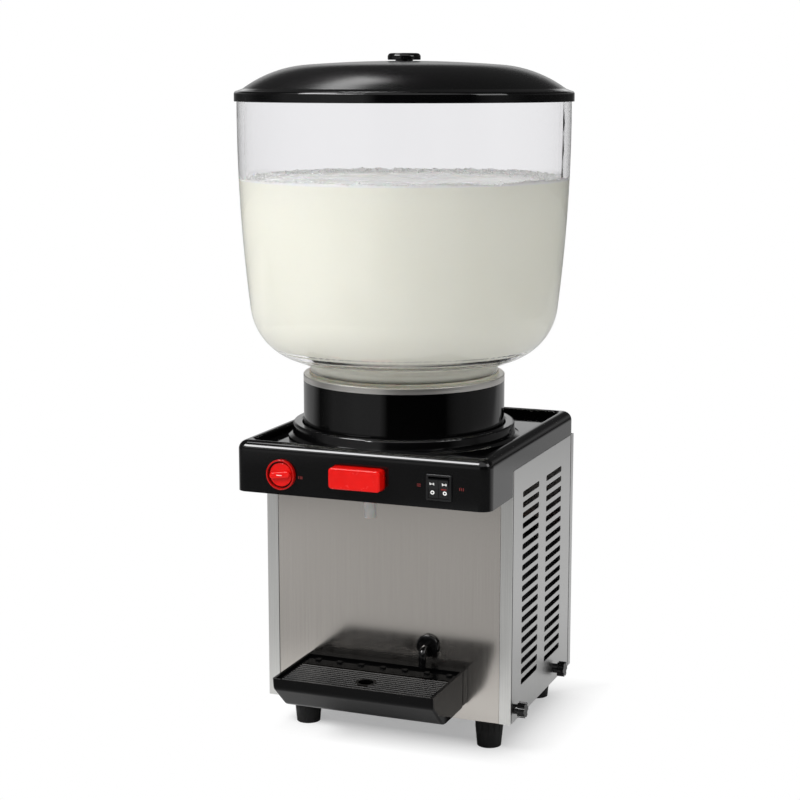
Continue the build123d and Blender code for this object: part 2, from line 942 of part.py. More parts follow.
def anvil_bracket():
    """The fixed bar that the hose is pinched against, standing on the underside plate."""
    width = (hose_x - anvil_half_width, hose_x + anvil_half_width)
    front = anvil_back() - anvil_thickness
    bar = block(width, (front, anvil_back()), (underside_top, pot_low - free_gap))
    toe = block(width, (front - anvil_half_width, front), (underside_top, underside_top + anvil_thickness))
    return bar + toe


def button_spring():
    """A compression spring between the anvil and the yoke, one unbroken wire."""
    front = yoke_front() + yoke_plate + spring_wire / 2 + sheet_gap
    back = anvil_back() - anvil_thickness - spring_wire / 2 - sheet_gap
    length = back - front
    path = Helix(length / spring_turns, length, spring_radius)
    section = Plane(path @ 0, z_dir=path % 0) * Circle(spring_wire / 2)
    coil = sweep(section, path, is_frenet=True)
    return Pos(hose_x, front, button_level) * Rot(-90, 0, 0) * coil


def outlet_hose():
    low = fascia_low - hose_drop
    top = pot_low - sheet_gap
    return ring(hose_radius, hose_bore, low, top, hose_x, hose_y)


# Thermostat and switch


def knob_bezel():
    front = fascia_front - bezel_reach
    outer = rod_back(bezel_radius, front, fascia_front, thermostat_x, control_height)
    outer = fillet(outer.edges().sort_by(Axis.Y)[0], bezel_round)
    return outer - rod_back(bezel_bore, front, fascia_front, thermostat_x, control_height)


def thermostat_knob():
    back = fascia_front - dial_gap
    front = back - dial_thickness
    dial = rod_back(dial_radius, front, back, 0, 0)
    dial = fillet(dial.edges().sort_by(Axis.Y)[0], dial_edge_round)
    grip = facing_front(SlotOverall(grip_length, grip_width), front - grip_reach, front)
    grip = fillet(grip.edges().filter_by_position(Axis.Y, front - grip_reach, front - grip_reach),
                  grip_round)
    knob = Rot(0, -grip_tilt, 0) * (dial + grip)
    knob = Pos(thermostat_x, 0, control_height) * knob
    return knob - rod_back(dial_shaft_radius + running_gap, front, back, thermostat_x, control_height)


def dial_shaft():
    front = fascia_front - dial_gap - dial_thickness
    return rod_back(dial_shaft_radius, front, front + dial_shaft_length, thermostat_x, control_height)


def thermostat():
    front = fascia_back + sheet_gap
    half = thermostat_width / 2
    half_height = thermostat_height / 2
    case = block((thermostat_x - half, thermostat_x + half), (front, front + thermostat_depth),
                 (control_height - half_height, control_height + half_height))
    bore = dial_shaft_radius + running_gap
    shaft_end = fascia_front - dial_gap - dial_thickness + dial_shaft_length
    return case - rod_back(bore, front, shaft_end + free_gap, thermostat_x, control_height)


def rocker_pivot():
    """Where the rockers turn, as y and z."""
    return fascia_front - switch_bezel + rocker_crest - free_gap, control_height


def rocker_centre(index):
    return switch_x + (index - 0.5) * (rocker_width + rocker_gap)


def switch_housing():
    front = fascia_front - switch_bezel
    face = RectangleRounded(switch_width, switch_height, switch_bezel_round)
    bezel = facing_front(face, front, fascia_front)
    rim = bezel.edges().filter_by_position(Axis.Y, front, front)
    bezel = fillet(rim, switch_edge_round)
    case = Rectangle(switch_width - 2 * switch_body_inset, switch_height - 2 * switch_body_inset)
    bezel += facing_front(case, fascia_front, fascia_front + switch_body_depth)
    pivot = rocker_pivot()[0]
    pocket = block((-rocker_pocket_half, rocker_pocket_half), (front, pivot + rocker_pocket_depth),
                   (-rocker_pocket_half_height, rocker_pocket_half_height))
    housing = Pos(switch_x, 0, control_height) * (bezel - pocket)
    return housing - pivot_rod(rocker_pin_radius + running_gap)


def pivot_rod(radius):
    """A rod on the rockers' axis that ends a little way into the two side walls of the housing."""
    y, z = rocker_pivot()
    half = rocker_pocket_half + rocker_pin_seat
    return rod_across(radius, switch_x - half, switch_x + half, y, z)


def rocker_pin():
    return pivot_rod(rocker_pin_radius)


def rocker(index):
    outline = Polyline((-rocker_crest, -rocker_half_height), (-rocker_dip, 0),
                       (-rocker_crest, rocker_half_height), (0, rocker_half_height),
                       (rocker_back, 0), (0, -rocker_half_height), close=True)
    half = rocker_width / 2
    key = facing_side(make_face(outline), -half, half)
    key -= rod_across(rocker_pin_radius + running_gap, -half, half, 0, 0)
    y, z = rocker_pivot()
    return Pos(rocker_centre(index), y, z) * Rot(rocker_tilt, 0, 0) * key


# Drip tray


def tray_outline():
    """The tray's end view, in y and z: a lip in front, a slope under it and a flat floor."""
    lip_foot = (tray_front + tray_lip_lean, tray_top - tray_lip)
    slope_foot = (tray_front + tray_slope_foot, tray_low)
    outline = make_face(Polyline((tray_rear, tray_top), (tray_rear, tray_low), slope_foot, lip_foot,
                                 (tray_front, tray_top), close=True))
    bends = [(slope_foot, tray_slope_round), (lip_foot, tray_lip_round),
             ((tray_rear, tray_low), tray_corner)]
    for corner, bend in bends:
        outline = fillet(outline.vertices().sort_by_distance(corner)[0], bend)
    return outline


def is_front_edge(edge):
    """Whether an edge of the tray lies on its lip or its slope."""
    middle = edge.position_at(0.5)
    return middle.Y < tray_front + tray_slope_foot and middle.Z < tray_top - tray_lip_round / 2


def drip_tray():
    half = tray_width / 2
    inner_half = half - tray_wall
    outline = tray_outline()
    tray = facing_side(outline, -half, half)
    for end in (0, -1):
        rim = tray.faces().sort_by(Axis.X)[end].edges()
        tray = fillet(rim.filter_by(is_front_edge), tray_end_round)
    tray -= facing_side(offset(outline, -tray_wall), -inner_half, inner_half)
    tray -= block((-inner_half, inner_half), (tray_front + tray_wall, tray_rear - tray_wall),
                  (tray_top - tray_lip / 2, tray_top))
    ledge = (tray_rear - tray_wall - ledge_depth, tray_rear - tray_wall)
    tray += block((-inner_half, inner_half), ledge, (ledge_top - ledge_thickness, ledge_top))
    ledge_middle = (ledge[0] + ledge[1]) / 2
    for index in range(ledge_studs):
        x = ledge_stud_x + (index - (ledge_studs - 1) / 2) * ledge_stud_pitch
        stud = Pos(x, ledge_middle, ledge_top) * Sphere(ledge_stud_radius)
        stud &= disc(ledge_stud_radius, ledge_top - ledge_thickness / 2, ledge_top + ledge_stud_rise,
                     x, ledge_middle)
        tray += stud
    for side in (-1, 1):
        faces = (side * inner_half, side * (inner_half - shelf_width))
        tray += block((min(faces), max(faces)), (tray_front + tray_wall, ledge[0]),
                      (grid_low - shelf_thickness, grid_low))
        tray -= tongue_hole(side)
    return tray


def tongue_level():
    return tray_top - tongue_drop


def tongue_hole(side):
    half = tongue_width / 2 + seam_gap
    level = tongue_level()
    return block((side * tongue_x - half, side * tongue_x + half), (tray_rear - tray_wall, tray_rear),
                 (level - seam_gap, level + tongue_thickness + seat_gap))


def tray_hanger():
    half = tray_width / 2
    top = tray_top - hanger_drop
    plate = block((-half, half), (tray_rear + sheet_gap, panel_front), (top - hanger_height, top))
    level = tongue_level()
    for side in (-1, 1):
        width = (side * tongue_x - tongue_width / 2, side * tongue_x + tongue_width / 2)
        plate += block(width, (tray_rear - tongue_reach, tray_rear + sheet_gap),
                       (level, level + tongue_thickness))
    return plate


def drip_grid():
    half = tray_width / 2 - tray_wall - grid_gap
    front = tray_front + tray_lip_lean + tray_wall + grid_gap
    rear = tray_rear - tray_wall - ledge_depth - grid_gap
    height = (grid_low, grid_top)
    grid = block((-half, half), (front, rear), height)
    grid -= block((-half + grid_frame, half - grid_frame), (front + grid_frame, rear - grid_frame), height)
    pitch = (rear - front - grid_frame) / (grid_slats + 1)
    section = RectangleRounded(grid_slat, grid_thickness, grid_slat_round)
    reach = half - grid_frame / 2
    for slat in range(grid_slats):
        y = front + grid_frame / 2 + pitch * (slat + 1)
        grid += facing_side(Pos(y, (grid_low + grid_top) / 2) * section, -reach, reach)
    for x in grid_ribs:
        grid += block((x - grid_rib / 2, x + grid_rib / 2), (front + grid_frame / 2, rear - grid_frame / 2),
                      (grid_low, grid_top - grid_rib_drop))
    grid += disc(grid_ring_radius, grid_low, grid_top, grid_ring_x, grid_ring_y)
    return grid - disc(grid_ring_bore, grid_low, grid_top, grid_ring_x, grid_ring_y)


def drain_elbow():
    reach = panel_front - drain_reach
    bend_start = reach + drain_bend
    bend_end = drain_height - drain_bend
    turn = drain_bend * math.sqrt(0.5)
    path = Line((drain_x, panel_back, drain_height), (drain_x, bend_start, drain_height))
    path += ThreePointArc((drain_x, bend_start, drain_height),
                          (drain_x, bend_start - turn, bend_end + turn), (drain_x, reach, bend_end))
    path += Line((drain_x, reach, bend_end), (drain_x, reach, tray_top + drain_tip_gap))
    start = Plane((drain_x, panel_back, drain_height), z_dir=(0, -1, 0))
    tube = sweep(start * Circle(drain_radius), path)
    return tube - sweep(start * Circle(drain_bore), path)


def drain_flange():
    front = panel_front - drain_flange_reach
    flange = rod_back(drain_flange_radius, front, panel_front, drain_x, drain_height)
    flange = fillet(flange.edges().sort_by(Axis.Y)[0], drain_flange_round)
    return flange - rod_back(drain_radius + running_gap, front, panel_front, drain_x, drain_height)


# Cooling machinery


def compressor_level():
    return base_top + mount_height


def compressor():
    low = compressor_level() + compressor_plate
    place = Pos(compressor_x, compressor_y, low)
    outer = RectangleRounded(compressor_width, compressor_depth, compressor_corner)
    can = extrude(outer, compressor_height)
    can = fillet(edges_at_height(can, compressor_height), compressor_round)
    inner = RectangleRounded(compressor_width - 2 * compressor_wall, compressor_depth - 2 * compressor_wall,
                             compressor_corner - compressor_wall)
    hollow = compressor_height - compressor_round - compressor_wall
    can -= Pos(0, 0, compressor_wall) * extrude(inner, hollow)
    plate = RectangleRounded(compressor_width + compressor_plate_lap,
                             compressor_depth + compressor_plate_lap, compressor_plate_lap)
    return place * (can + Pos(0, 0, -compressor_plate) * extrude(plate, compressor_plate))


def compressor_mounts():
    mounts = []
    for x in (-1, 1):
        for y in (-1, 1):
            mounts.append(disc(mount_radius, base_top, compressor_level(),
                               compressor_x + x * (compressor_width / 2 - mount_radius),
                               compressor_y + y * (compressor_depth / 2 - mount_radius)))
    return Compound(children=mounts)


def condenser_faces():
    """The condenser's inner and outer face, in x."""
    outer = base_half - base_sheet - condenser_gap
    return outer - condenser_thickness, outer


def condenser_ends():
    """The condenser's front and rear end, in y."""
    return condenser_y - condenser_depth / 2, condenser_y + condenser_depth / 2


def condenser():
    faces = condenser_faces()
    front, rear = condenser_ends()
    height = (base_top, base_top + condenser_height)
    pitch = (rear - front - condenser_end) / (fin_count + 1)
    core = block(faces, (front, front + condenser_end), height)
    core += block(faces, (rear - condenser_end, rear), height)
    fins = [block(faces, (front + pitch * (fin + 1), front + pitch * (fin + 1) + fin_thickness),
                  (height[0] + condenser_end, height[1] - condenser_end)) for fin in range(fin_count)]
    middle = (faces[0] + faces[1]) / 2
    step = condenser_height / condenser_tubes
    tubes = [rod_back(condenser_tube_radius, front, rear, middle, base_top + step * (tube + 0.5))
             for tube in range(condenser_tubes)]
    return core + tubes + fins


def fan_axis():
    """The fan's axis, as y and z."""
    return condenser_y, base_top + condenser_height / 2


def fan_shroud():
    y, z = fan_axis()
    right = condenser_faces()[0] - sheet_gap
    left = right - shroud_thickness
    front, rear = condenser_ends()
    plate = block((left, right), (front, rear), (base_top, base_top + condenser_height))
    return plate - rod_across(fan_radius + fan_clearance, left, right, y, z)


def fan_middle():
    """The middle of the fan's hub, in x, with the blade tips just short of the condenser."""
    pitch = math.radians(fan_blade_pitch)
    blade_half = (fan_blade_width * math.sin(pitch) + fan_blade_thickness * math.cos(pitch)) / 2
    return condenser_faces()[0] - free_gap - blade_half


def fan():
    y, z = fan_axis()
    hub = rod_across(fan_hub_radius, -fan_hub / 2, fan_hub / 2, 0, 0)
    reach = (fan_hub_radius - fan_root_lap, fan_radius)
    blade = block((-fan_blade_thickness / 2, fan_blade_thickness / 2),
                  (-fan_blade_width / 2, fan_blade_width / 2), reach)
    blade = Rot(0, 0, fan_blade_pitch) * blade
    round_tip = rod_across(fan_radius, -fan_blade_width, fan_blade_width, 0, 0)
    hub += [round_tip & (Rot(360 * turn / fan_blades, 0, 0) * blade) for turn in range(fan_blades)]
    hub += rod_across(fan_shaft_radius, -fan_hub / 2 - fan_setback - fan_motor_length / 2, 0, 0, 0)
    return Pos(fan_middle(), y, z) * hub


def fan_motor_faces():
    """The fan motor's left and right faces, in x."""
    right = fan_middle() - fan_hub / 2 - fan_setback
    return right - fan_motor_length, right


def fan_motor():
    y, z = fan_axis()
    left, right = fan_motor_faces()
    case = rod_across(fan_motor_radius, left, right, y, z)
    bore_end = right - fan_motor_length / 2 - free_gap
    return case - rod_across(fan_shaft_radius + running_gap, bore_end, right, y, z)


def fan_strap():
    """The strap that carries the fan motor from the shroud."""
    y, z = fan_axis()
    left = fan_motor_faces()[0]
    right = condenser_faces()[0] - sheet_gap - shroud_thickness
    width = (y - strap_width / 2, y + strap_width / 2)
    strap = block((left - strap_thickness, right), width, (z - strap_half_span, z + strap_half_span))
    inner = strap_half_span - strap_thickness
    return strap - block((left, right), width, (z - inner, z + inner))


def suction_line():
    x, y = suction_place()
    top = floor_top + coil_tube / 2
    low = compressor_level() + compressor_plate + compressor_height
    return disc(line_radius, low, top, x, y)


def discharge_line():
    y = compressor_y + compressor_depth / 2 - compressor_corner
    start = compressor_x + compressor_width / 2
    turn_x = start + line_stub
    rear = condenser_ends()[1]
    turn_y = rear + line_stub
    low = compressor_level() + compressor_height / 2
    step = condenser_height / condenser_tubes
    high = base_top + step * (condenser_tubes - 0.5)
    middle = sum(condenser_faces()) / 2
    path = FilletPolyline((start, y, low), (turn_x, y, low), (turn_x, turn_y, low), (turn_x, turn_y, high),
                          (middle, turn_y, high), (middle, rear, high), radius=line_bend)
    return sweep(Plane((start, y, low), z_dir=(1, 0, 0)) * Circle(line_radius), path)


def cord_gland():
    inside = body_rear - sheet
    gland = rod_back(gland_flange_radius, body_rear, body_rear + gland_flange, gland_x, gland_height)
    gland += rod_back(gland_stem_radius, body_rear + gland_flange, rear_reach, gland_x, gland_height)
    gland += rod_back(gland_neck_radius, inside, body_rear, gland_x, gland_height)
    gland += rod_back(gland_nut_radius, inside - gland_nut, inside, gland_x, gland_height)
    return gland - rod_back(gland_bore, inside - gland_nut, rear_reach, gland_x, gland_height)


def all_pieces():
    """Every piece by its name, about the bowl's axis."""
    pieces = {
        "base_tray": base_tray(),
        "front_post_right": front_post(),
        "front_post_left": mirrored(front_post()),
        "front_panel": front_panel(),
        "side_panel_right": side_panel() - stud_holes(),
        "side_panel_left": mirrored(side_panel()),
        "rear_panel": rear_panel(),
        "rear_screws": rear_screws(),
        "deck_plate": deck_plate(),
        "top_cover": top_cover(),
        "underside_plate": underside_plate(),
        "evaporator_pot": evaporator_pot(),
        "pot_sleeve": pot_sleeve(),
        "evaporator_coil": evaporator_coil(),
        "foam_jacket": foam_jacket(),
        "bowl_gasket": bowl_gasket(),
        "bowl": bowl(),
        "lid": lid(),
        "lid_knob": lid_knob(),
        "lid_nut": lid_nut(),
        "impeller": impeller(),
        "drive_magnet": drive_magnet(),
        "mixer_motor": mixer_motor(),
        "dispense_button": dispense_button(),
        "pinch_yoke": pinch_yoke(),
        "anvil_bracket": anvil_bracket(),
        "button_spring": button_spring(),
        "outlet_hose": outlet_hose(),
        "knob_bezel": knob_bezel(),
        "thermostat_knob": thermostat_knob(),
        "dial_shaft": dial_shaft(),
        "thermostat": thermostat(),
        "switch_housing": switch_housing(),
        "rocker_pin": rocker_pin(),
        "rocker_left": rocker(0),
        "rocker_right": rocker(1),
        "drip_tray": drip_tray(),
        "drip_grid": drip_grid(),
        "tray_hanger": tray_hanger(),
        "drain_elbow": drain_elbow(),
        "drain_flange": drain_flange(),
        "compressor": compressor(),
        "compressor_mounts": compressor_mounts(),
        "condenser": condenser(),
        "fan_shroud": fan_shroud(),
        "fan": fan(),
        "fan_motor": fan_motor(),
        "fan_strap": fan_strap(),
        "suction_line": suction_line(),
        "discharge_line": discharge_line(),
        "cord_gland": cord_gland(),
    }
    feet = {"front": body_front + foot_front_inset, "rear": body_rear - foot_rear_inset}
    for end, y in feet.items():
        pieces[f"foot_{end}_right"] = Pos(foot_x, y, 0) * foot()
        pieces[f"foot_{end}_left"] = Pos(-foot_x, y, 0) * foot()
    for end, y in zip(("front", "rear"), star_places):
        pieces[f"star_knob_{end}"] = star_knob(y)
    return pieces


os.makedirs("parts", exist_ok=True)
for name, piece in all_pieces().items():
    export_step(Pos(0, axis_y, 0) * piece, f"parts/{name}.step")
print(f"The bowl's axis stands at y = {axis_y:.2f} mm.")
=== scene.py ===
# %% [markdown]
# A cold drink dispenser, finished in Blender
#
# The machine's pieces arrive as exact solids, already in place and already tied to the bodies that
# move. They could be modelled again as meshes, but then the looks and the moving model would drift
# apart. So this lesson keeps them. It lights them, gives every surface the finish the real one has,
# and adds what only looks need: the drink, its froth and the printed marks.

# %% Load the frame
import json
import math
import random

import bmesh
import bpy
from mathutils import Matrix, Vector, noise

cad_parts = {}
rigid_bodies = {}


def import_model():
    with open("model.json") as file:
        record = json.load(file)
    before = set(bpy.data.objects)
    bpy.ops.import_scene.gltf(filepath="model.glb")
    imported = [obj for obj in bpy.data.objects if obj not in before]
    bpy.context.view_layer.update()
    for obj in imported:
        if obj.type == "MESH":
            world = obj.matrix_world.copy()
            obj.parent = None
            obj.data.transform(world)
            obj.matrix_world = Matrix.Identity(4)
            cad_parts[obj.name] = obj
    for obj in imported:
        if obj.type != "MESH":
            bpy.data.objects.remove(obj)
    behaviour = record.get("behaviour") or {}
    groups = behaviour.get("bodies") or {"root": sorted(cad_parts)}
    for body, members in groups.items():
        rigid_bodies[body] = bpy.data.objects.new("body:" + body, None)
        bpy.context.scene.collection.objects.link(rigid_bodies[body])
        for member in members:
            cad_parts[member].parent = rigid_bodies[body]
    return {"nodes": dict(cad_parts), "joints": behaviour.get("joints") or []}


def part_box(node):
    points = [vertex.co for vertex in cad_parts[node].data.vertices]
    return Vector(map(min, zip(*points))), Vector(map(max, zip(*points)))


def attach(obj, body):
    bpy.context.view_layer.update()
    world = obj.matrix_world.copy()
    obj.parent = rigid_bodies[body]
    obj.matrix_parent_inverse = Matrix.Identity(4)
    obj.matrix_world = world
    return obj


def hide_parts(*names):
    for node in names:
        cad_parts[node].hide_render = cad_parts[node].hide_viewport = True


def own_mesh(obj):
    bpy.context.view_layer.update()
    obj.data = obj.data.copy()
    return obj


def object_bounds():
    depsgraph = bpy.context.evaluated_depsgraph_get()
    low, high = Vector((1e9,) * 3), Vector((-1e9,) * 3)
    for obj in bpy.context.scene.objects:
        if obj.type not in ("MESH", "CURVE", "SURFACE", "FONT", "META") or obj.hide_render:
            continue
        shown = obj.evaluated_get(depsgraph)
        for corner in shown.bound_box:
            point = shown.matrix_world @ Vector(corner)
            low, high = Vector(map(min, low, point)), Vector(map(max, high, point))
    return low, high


for leftover in list(bpy.data.objects):
    bpy.data.objects.remove(leftover)

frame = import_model()
nodes = frame["nodes"]
solid_low, solid_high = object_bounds()
print(len(nodes), "pieces,", [round(high - low, 3) for low, high in zip(solid_low, solid_high)], "m overall")

# %% [markdown]
# The camera stands where the photographer stood: to the machine's right, about as high as the lid,
# looking slightly down with a long lens. It could be aimed at a point with a constraint, but a fitted
# camera also has an exact roll, so its three directions are written down. They come from matching
# known edges of the machine with the picture. A camera looks along its own -Z, so the view direction
# goes into the third column with its sign turned.

# %% Camera
eye = Vector((0.69371, -1.79090, 0.69790))
sight = Vector((-0.35851, 0.91739, -0.17282)).normalized()
to_right = Vector((0.93140, 0.36399, 0.0)).normalized()
to_top = to_right.cross(sight)

lens = bpy.data.cameras.new("photo_lens")
lens.lens = 82.57
lens.sensor_width = 36.0
lens.clip_end = 50.0
camera = bpy.data.objects.new("photo_camera", lens)
camera.matrix_world = Matrix((
    (to_right.x, to_top.x, -sight.x, eye.x),
    (to_right.y, to_top.y, -sight.y, eye.y),
    (to_right.z, to_top.z, -sight.z, eye.z),
    (0.0, 0.0, 0.0, 1.0),
))
bpy.context.collection.objects.link(camera)
bpy.context.scene.camera = camera
bpy.context.scene.view_settings.view_transform = "Standard"
print("camera", round(eye.length, 2), "m from the middle of the feet")

# %% [markdown]
# Every finish below is a small tree of nodes. Such a tree could be drawn by hand in the shader editor,
# but code can name its steps. Three helpers do the plumbing: one fills a socket, one adds a node, and
# one starts a material and hands back its main shader. A socket name is written with _ for each space,
# and a colour is three numbers.

# %% Helpers for node trees
def plug(tree, socket, value):
    """Fills one socket, with a constant or with another node's output."""
    if isinstance(value, bpy.types.NodeSocket):
        tree.links.new(value, socket)
    elif socket.type == "RGBA":
        socket.default_value = (*value, 1.0)
    else:
        socket.default_value = value


def add(tree, kind, settings=None, **sockets):
    made = tree.nodes.new(kind)
    for setting, value in (settings or {}).items():
        setattr(made, setting, value)
    for name, value in sockets.items():
        plug(tree, made.inputs[name.replace("_", " ")], value)
    return made


def new_finish(name, **constants):
    material = bpy.data.materials.new(name)
    material.use_nodes = True
    shader = material.node_tree.nodes["Principled BSDF"]
    for socket, value in constants.items():
        shader.inputs[socket.replace("_", " ")].default_value = value
    return material, material.node_tree, shader


print("helpers for node trees are ready")

# %% [markdown]
# Patterns come next. A picture could be wrapped round each piece, but it would need a flat layout of
# every surface. Noise in space needs none: it is read at a point's own place on the machine, so it
# runs on across seams and has its true size in metres. The helpers turn such a variation from 0 to 1
# into a number or a colour.

# %% Helpers for patterns
def sum_of(tree, operation, *values):
    """One step of arithmetic on numbers or outputs."""
    made = add(tree, "ShaderNodeMath", {"operation": operation})
    for socket, value in zip(made.inputs, values):
        plug(tree, socket, value)
    return made.outputs[0]


def place_of(tree, stretch=(1.0, 1.0, 1.0)):
    """A point's place on the machine in metres, stretched along each axis."""
    point = add(tree, "ShaderNodeTexCoord").outputs["Object"]
    return add(tree, "ShaderNodeMapping", Vector=point, Scale=stretch).outputs["Vector"]


def speckle(tree, scale, detail=3.0, stretch=(1.0, 1.0, 1.0)):
    """Soft random variation from 0 to 1, with scale blobs to a metre."""
    return add(tree, "ShaderNodeTexNoise", Vector=place_of(tree, stretch), Scale=scale,
               Detail=detail).outputs["Fac"]


def between(tree, value, low, high, start=0.3, end=0.7):
    """Turns a variation from start to end into a number from low to high."""
    return add(tree, "ShaderNodeMapRange", Value=value, From_Min=start, From_Max=end, To_Min=low,
               To_Max=high).outputs["Result"]


def colours(tree, value, *stops):
    """Turns a 0 to 1 variation into a colour, by stops of (place, colour)."""
    ramp = add(tree, "ShaderNodeValToRGB", Fac=value)
    strip = ramp.color_ramp.elements
    while len(strip) < len(stops):
        strip.new(1.0)
    for element, (place, colour) in zip(strip, stops):
        element.position = place
        element.color = (*colour, 1.0)
    return ramp.outputs["Color"]


def tint(tree, value, first, second, start=0.3, end=0.7):
    """Turns a variation into a colour from the first to the second."""
    return colours(tree, value, (start, first), (end, second))


def grey(level):
    return (level, level, level)


print("helpers for patterns are ready")

# %% [markdown]
# The picture is a studio shot on white, and two things shape what it shows: a sheet of white paper
# under and behind the machine, and the dark studio round the camera. Steel and black plastic are
# mirrors of both. Real cards could stand round the machine, but they would show in the other views.
# So the studio is described once, as a row of grey cards that only mirrors see, from left to right:
# pale on the left, black where the camera stands, and pale again on the far right. The edge beside
# the camera gives the black sleeve its upright bands.

# %% Studio cards
card_greys = ((-1.0, 0.03), (-0.90, 0.24), (-0.55, 0.38), (-0.10, 0.38), (0.06, 0.0), (0.92, 0.0),
              (1.0, 0.18))


def fade(tree, value, start, end):
    """Goes from 0 at start to 1 at end."""
    return between(tree, value, 0.0, 1.0, start, end)


def row_of_greys(tree, place, first, last, greys):
    """A grey for a place from first to last, by stops of (place, grey)."""
    stops = [((stop - first) / (last - first), grey(level)) for stop, level in greys]
    return colours(tree, fade(tree, place, first, last), *stops)


def studio_cards(tree, across):
    """The studio in front of the machine, for a place from -1 at the left to 1 at the right."""
    return row_of_greys(tree, across, -1.0, 1.0, card_greys)


print(len(card_greys), "stops in the row of cards")

# %% [markdown]
# The floor is a large disc of pale paper. A square plane would do for the picture, but its corners
# would show as a kink in the horizon that the bowl and the sleeve mirror. It isn't part of the machine.

# %% Floor
floor_radius, floor_corners = 6.0, 96

floor_mesh = bpy.data.meshes.new("floor")
shape = bmesh.new()
bmesh.ops.create_circle(shape, cap_ends=True, segments=floor_corners, radius=floor_radius)
shape.to_mesh(floor_mesh)
shape.free()
floor = bpy.data.objects.new("floor", floor_mesh)
bpy.context.collection.objects.link(floor)
print("floor", 2 * floor_radius, "m across")

# %% [markdown]
# What mirrors see of the floor makes the steel. The front panel mirrors the paper in front of it, so
# its middle grey is that sheet's grey, paler to the left. Past the sheet's front edge comes a dark
# gap, then the studio's cards. The cover's right side and the side panel mirror the backdrop behind,
# which darkens towards the horizon. Plain white paper would turn every mirror white.

# %% What mirrors see of the floor
sheet_grey, sheet_slope, sheet_end = 0.42, -0.22, 1.16
gap_grey, gap_from, gap_to, cards_from = 0.13, 1.32, 1.60, 1.85
backdrop_grey, backdrop_middle_grey, backdrop_far_grey = 0.64, 0.48, 0.20
backdrop_reach = 4.0
backdrop_greys = ((1.40, backdrop_grey), (1.55, backdrop_middle_grey), (2.60, backdrop_middle_grey),
                  (3.60, backdrop_far_grey))
backdrop_end, backdrop_far = 1.6, 1.9
right_from, right_to = 1.0, 1.3
front_to, back_from = -0.1, 0.5


def blend(tree, amount, first, second):
    """Mixes two colours."""
    made = add(tree, "ShaderNodeMix", {"data_type": "RGBA"}, Factor=amount, A=first, B=second)
    return made.outputs["Result"]


paper = bpy.data.materials.new("floor_paper")
paper.use_nodes = True
tree = paper.node_tree
tree.nodes.remove(tree.nodes["Principled BSDF"])
here = place_of(tree)
x, y, _ = add(tree, "ShaderNodeSeparateXYZ", Vector=here).outputs
reach = add(tree, "ShaderNodeVectorMath", {"operation": "LENGTH"}, Vector=here).outputs["Value"]

sheet = sum_of(tree, "MULTIPLY_ADD", x, sheet_slope, sheet_grey)
sheet_and_gap = blend(tree, fade(tree, reach, sheet_end, gap_from), sheet, grey(gap_grey))
cards = studio_cards(tree, sum_of(tree, "DIVIDE", x, reach))
in_front = blend(tree, fade(tree, reach, gap_to, cards_from), sheet_and_gap, cards)
backdrop = row_of_greys(tree, reach, 0.0, backdrop_reach, backdrop_greys)
far_right = between(tree, reach, backdrop_grey, backdrop_far_grey, backdrop_end, backdrop_far)
behind = blend(tree, fade(tree, x, right_from, right_to), backdrop, far_right)
mirrored = blend(tree, fade(tree, y, front_to, back_from), in_front, behind)
print("sheet", sheet_grey, "and backdrop", backdrop_grey, "for mirrors")

# %% [markdown]
# For the camera the paper is really lit, so the shadow under the machine is a true one. Some white is
# added, and a step away from the feet it turns into plain white, so no edge shows. Lighting the paper
# up to white would do it too, but the machine would be far too bright. The Light Path node tells what
# kind of ray arrives, so the paper can be darker for the camera than for the light it sends up.

# %% Floor for the camera
paper_white, paper_seen = 0.80, 0.60
camera_lift, plain_white = 0.34, 1.0
shadow_middle, shadow_half_width, shadow_half_depth, shadow_width = 0.070, 0.115, 0.085, 0.065


def mixed(tree, amount, first, second):
    """Mixes two surfaces."""
    made = add(tree, "ShaderNodeMixShader", Fac=amount)
    plug(tree, made.inputs[1], first)
    plug(tree, made.inputs[2], second)
    return made.outputs[0]


def glow(tree, **sockets):
    return add(tree, "ShaderNodeEmission", **sockets).outputs[0]


def outside_footprint(tree, x, y):
    """How far a place on the floor lies outside the machine's footprint, in metres."""
    from_middle = sum_of(tree, "SUBTRACT", y, shadow_middle)
    beside = sum_of(tree, "SUBTRACT", sum_of(tree, "ABSOLUTE", x), shadow_half_width)
    before = sum_of(tree, "SUBTRACT", sum_of(tree, "ABSOLUTE", from_middle), shadow_half_depth)
    return sum_of(tree, "MAXIMUM", beside, before)


rays = add(tree, "ShaderNodeLightPath").outputs
tone = add(tree, "ShaderNodeMix", Factor=rays["Is Camera Ray"], A=paper_white, B=paper_seen)
lit = add(tree, "ShaderNodeBsdfDiffuse", Color=tone.outputs["Result"]).outputs[0]
lifted = add(tree, "ShaderNodeAddShader")
plug(tree, lifted.inputs[0], lit)
plug(tree, lifted.inputs[1], glow(tree, Strength=camera_lift))
for_camera = mixed(tree, fade(tree, outside_footprint(tree, x, y), 0.0, shadow_width), lifted.outputs[0],
                   glow(tree, Strength=plain_white))
print("shadow kept for", shadow_width, "m round the feet")

# %% [markdown]
# Now the kinds of ray are sorted. Mirrors see the lit paper close to the feet, and the greys from above
# farther out. The drink is lit through the bowl, by matt rays that have passed something clear, and
# gets a light of its own from the paper, stronger from the left. All other rays through the bowl see
# what the camera sees. One paper for all would be simpler, but real studio light is aimed in the same
# way, by cards and shades.

# %% Floor for every ray
paper_mirrored = 0.62
lit_to, sheet_from = 0.20, 0.42
drink_light, drink_light_slope = 1.32, -0.30
any_bounce = 0.5

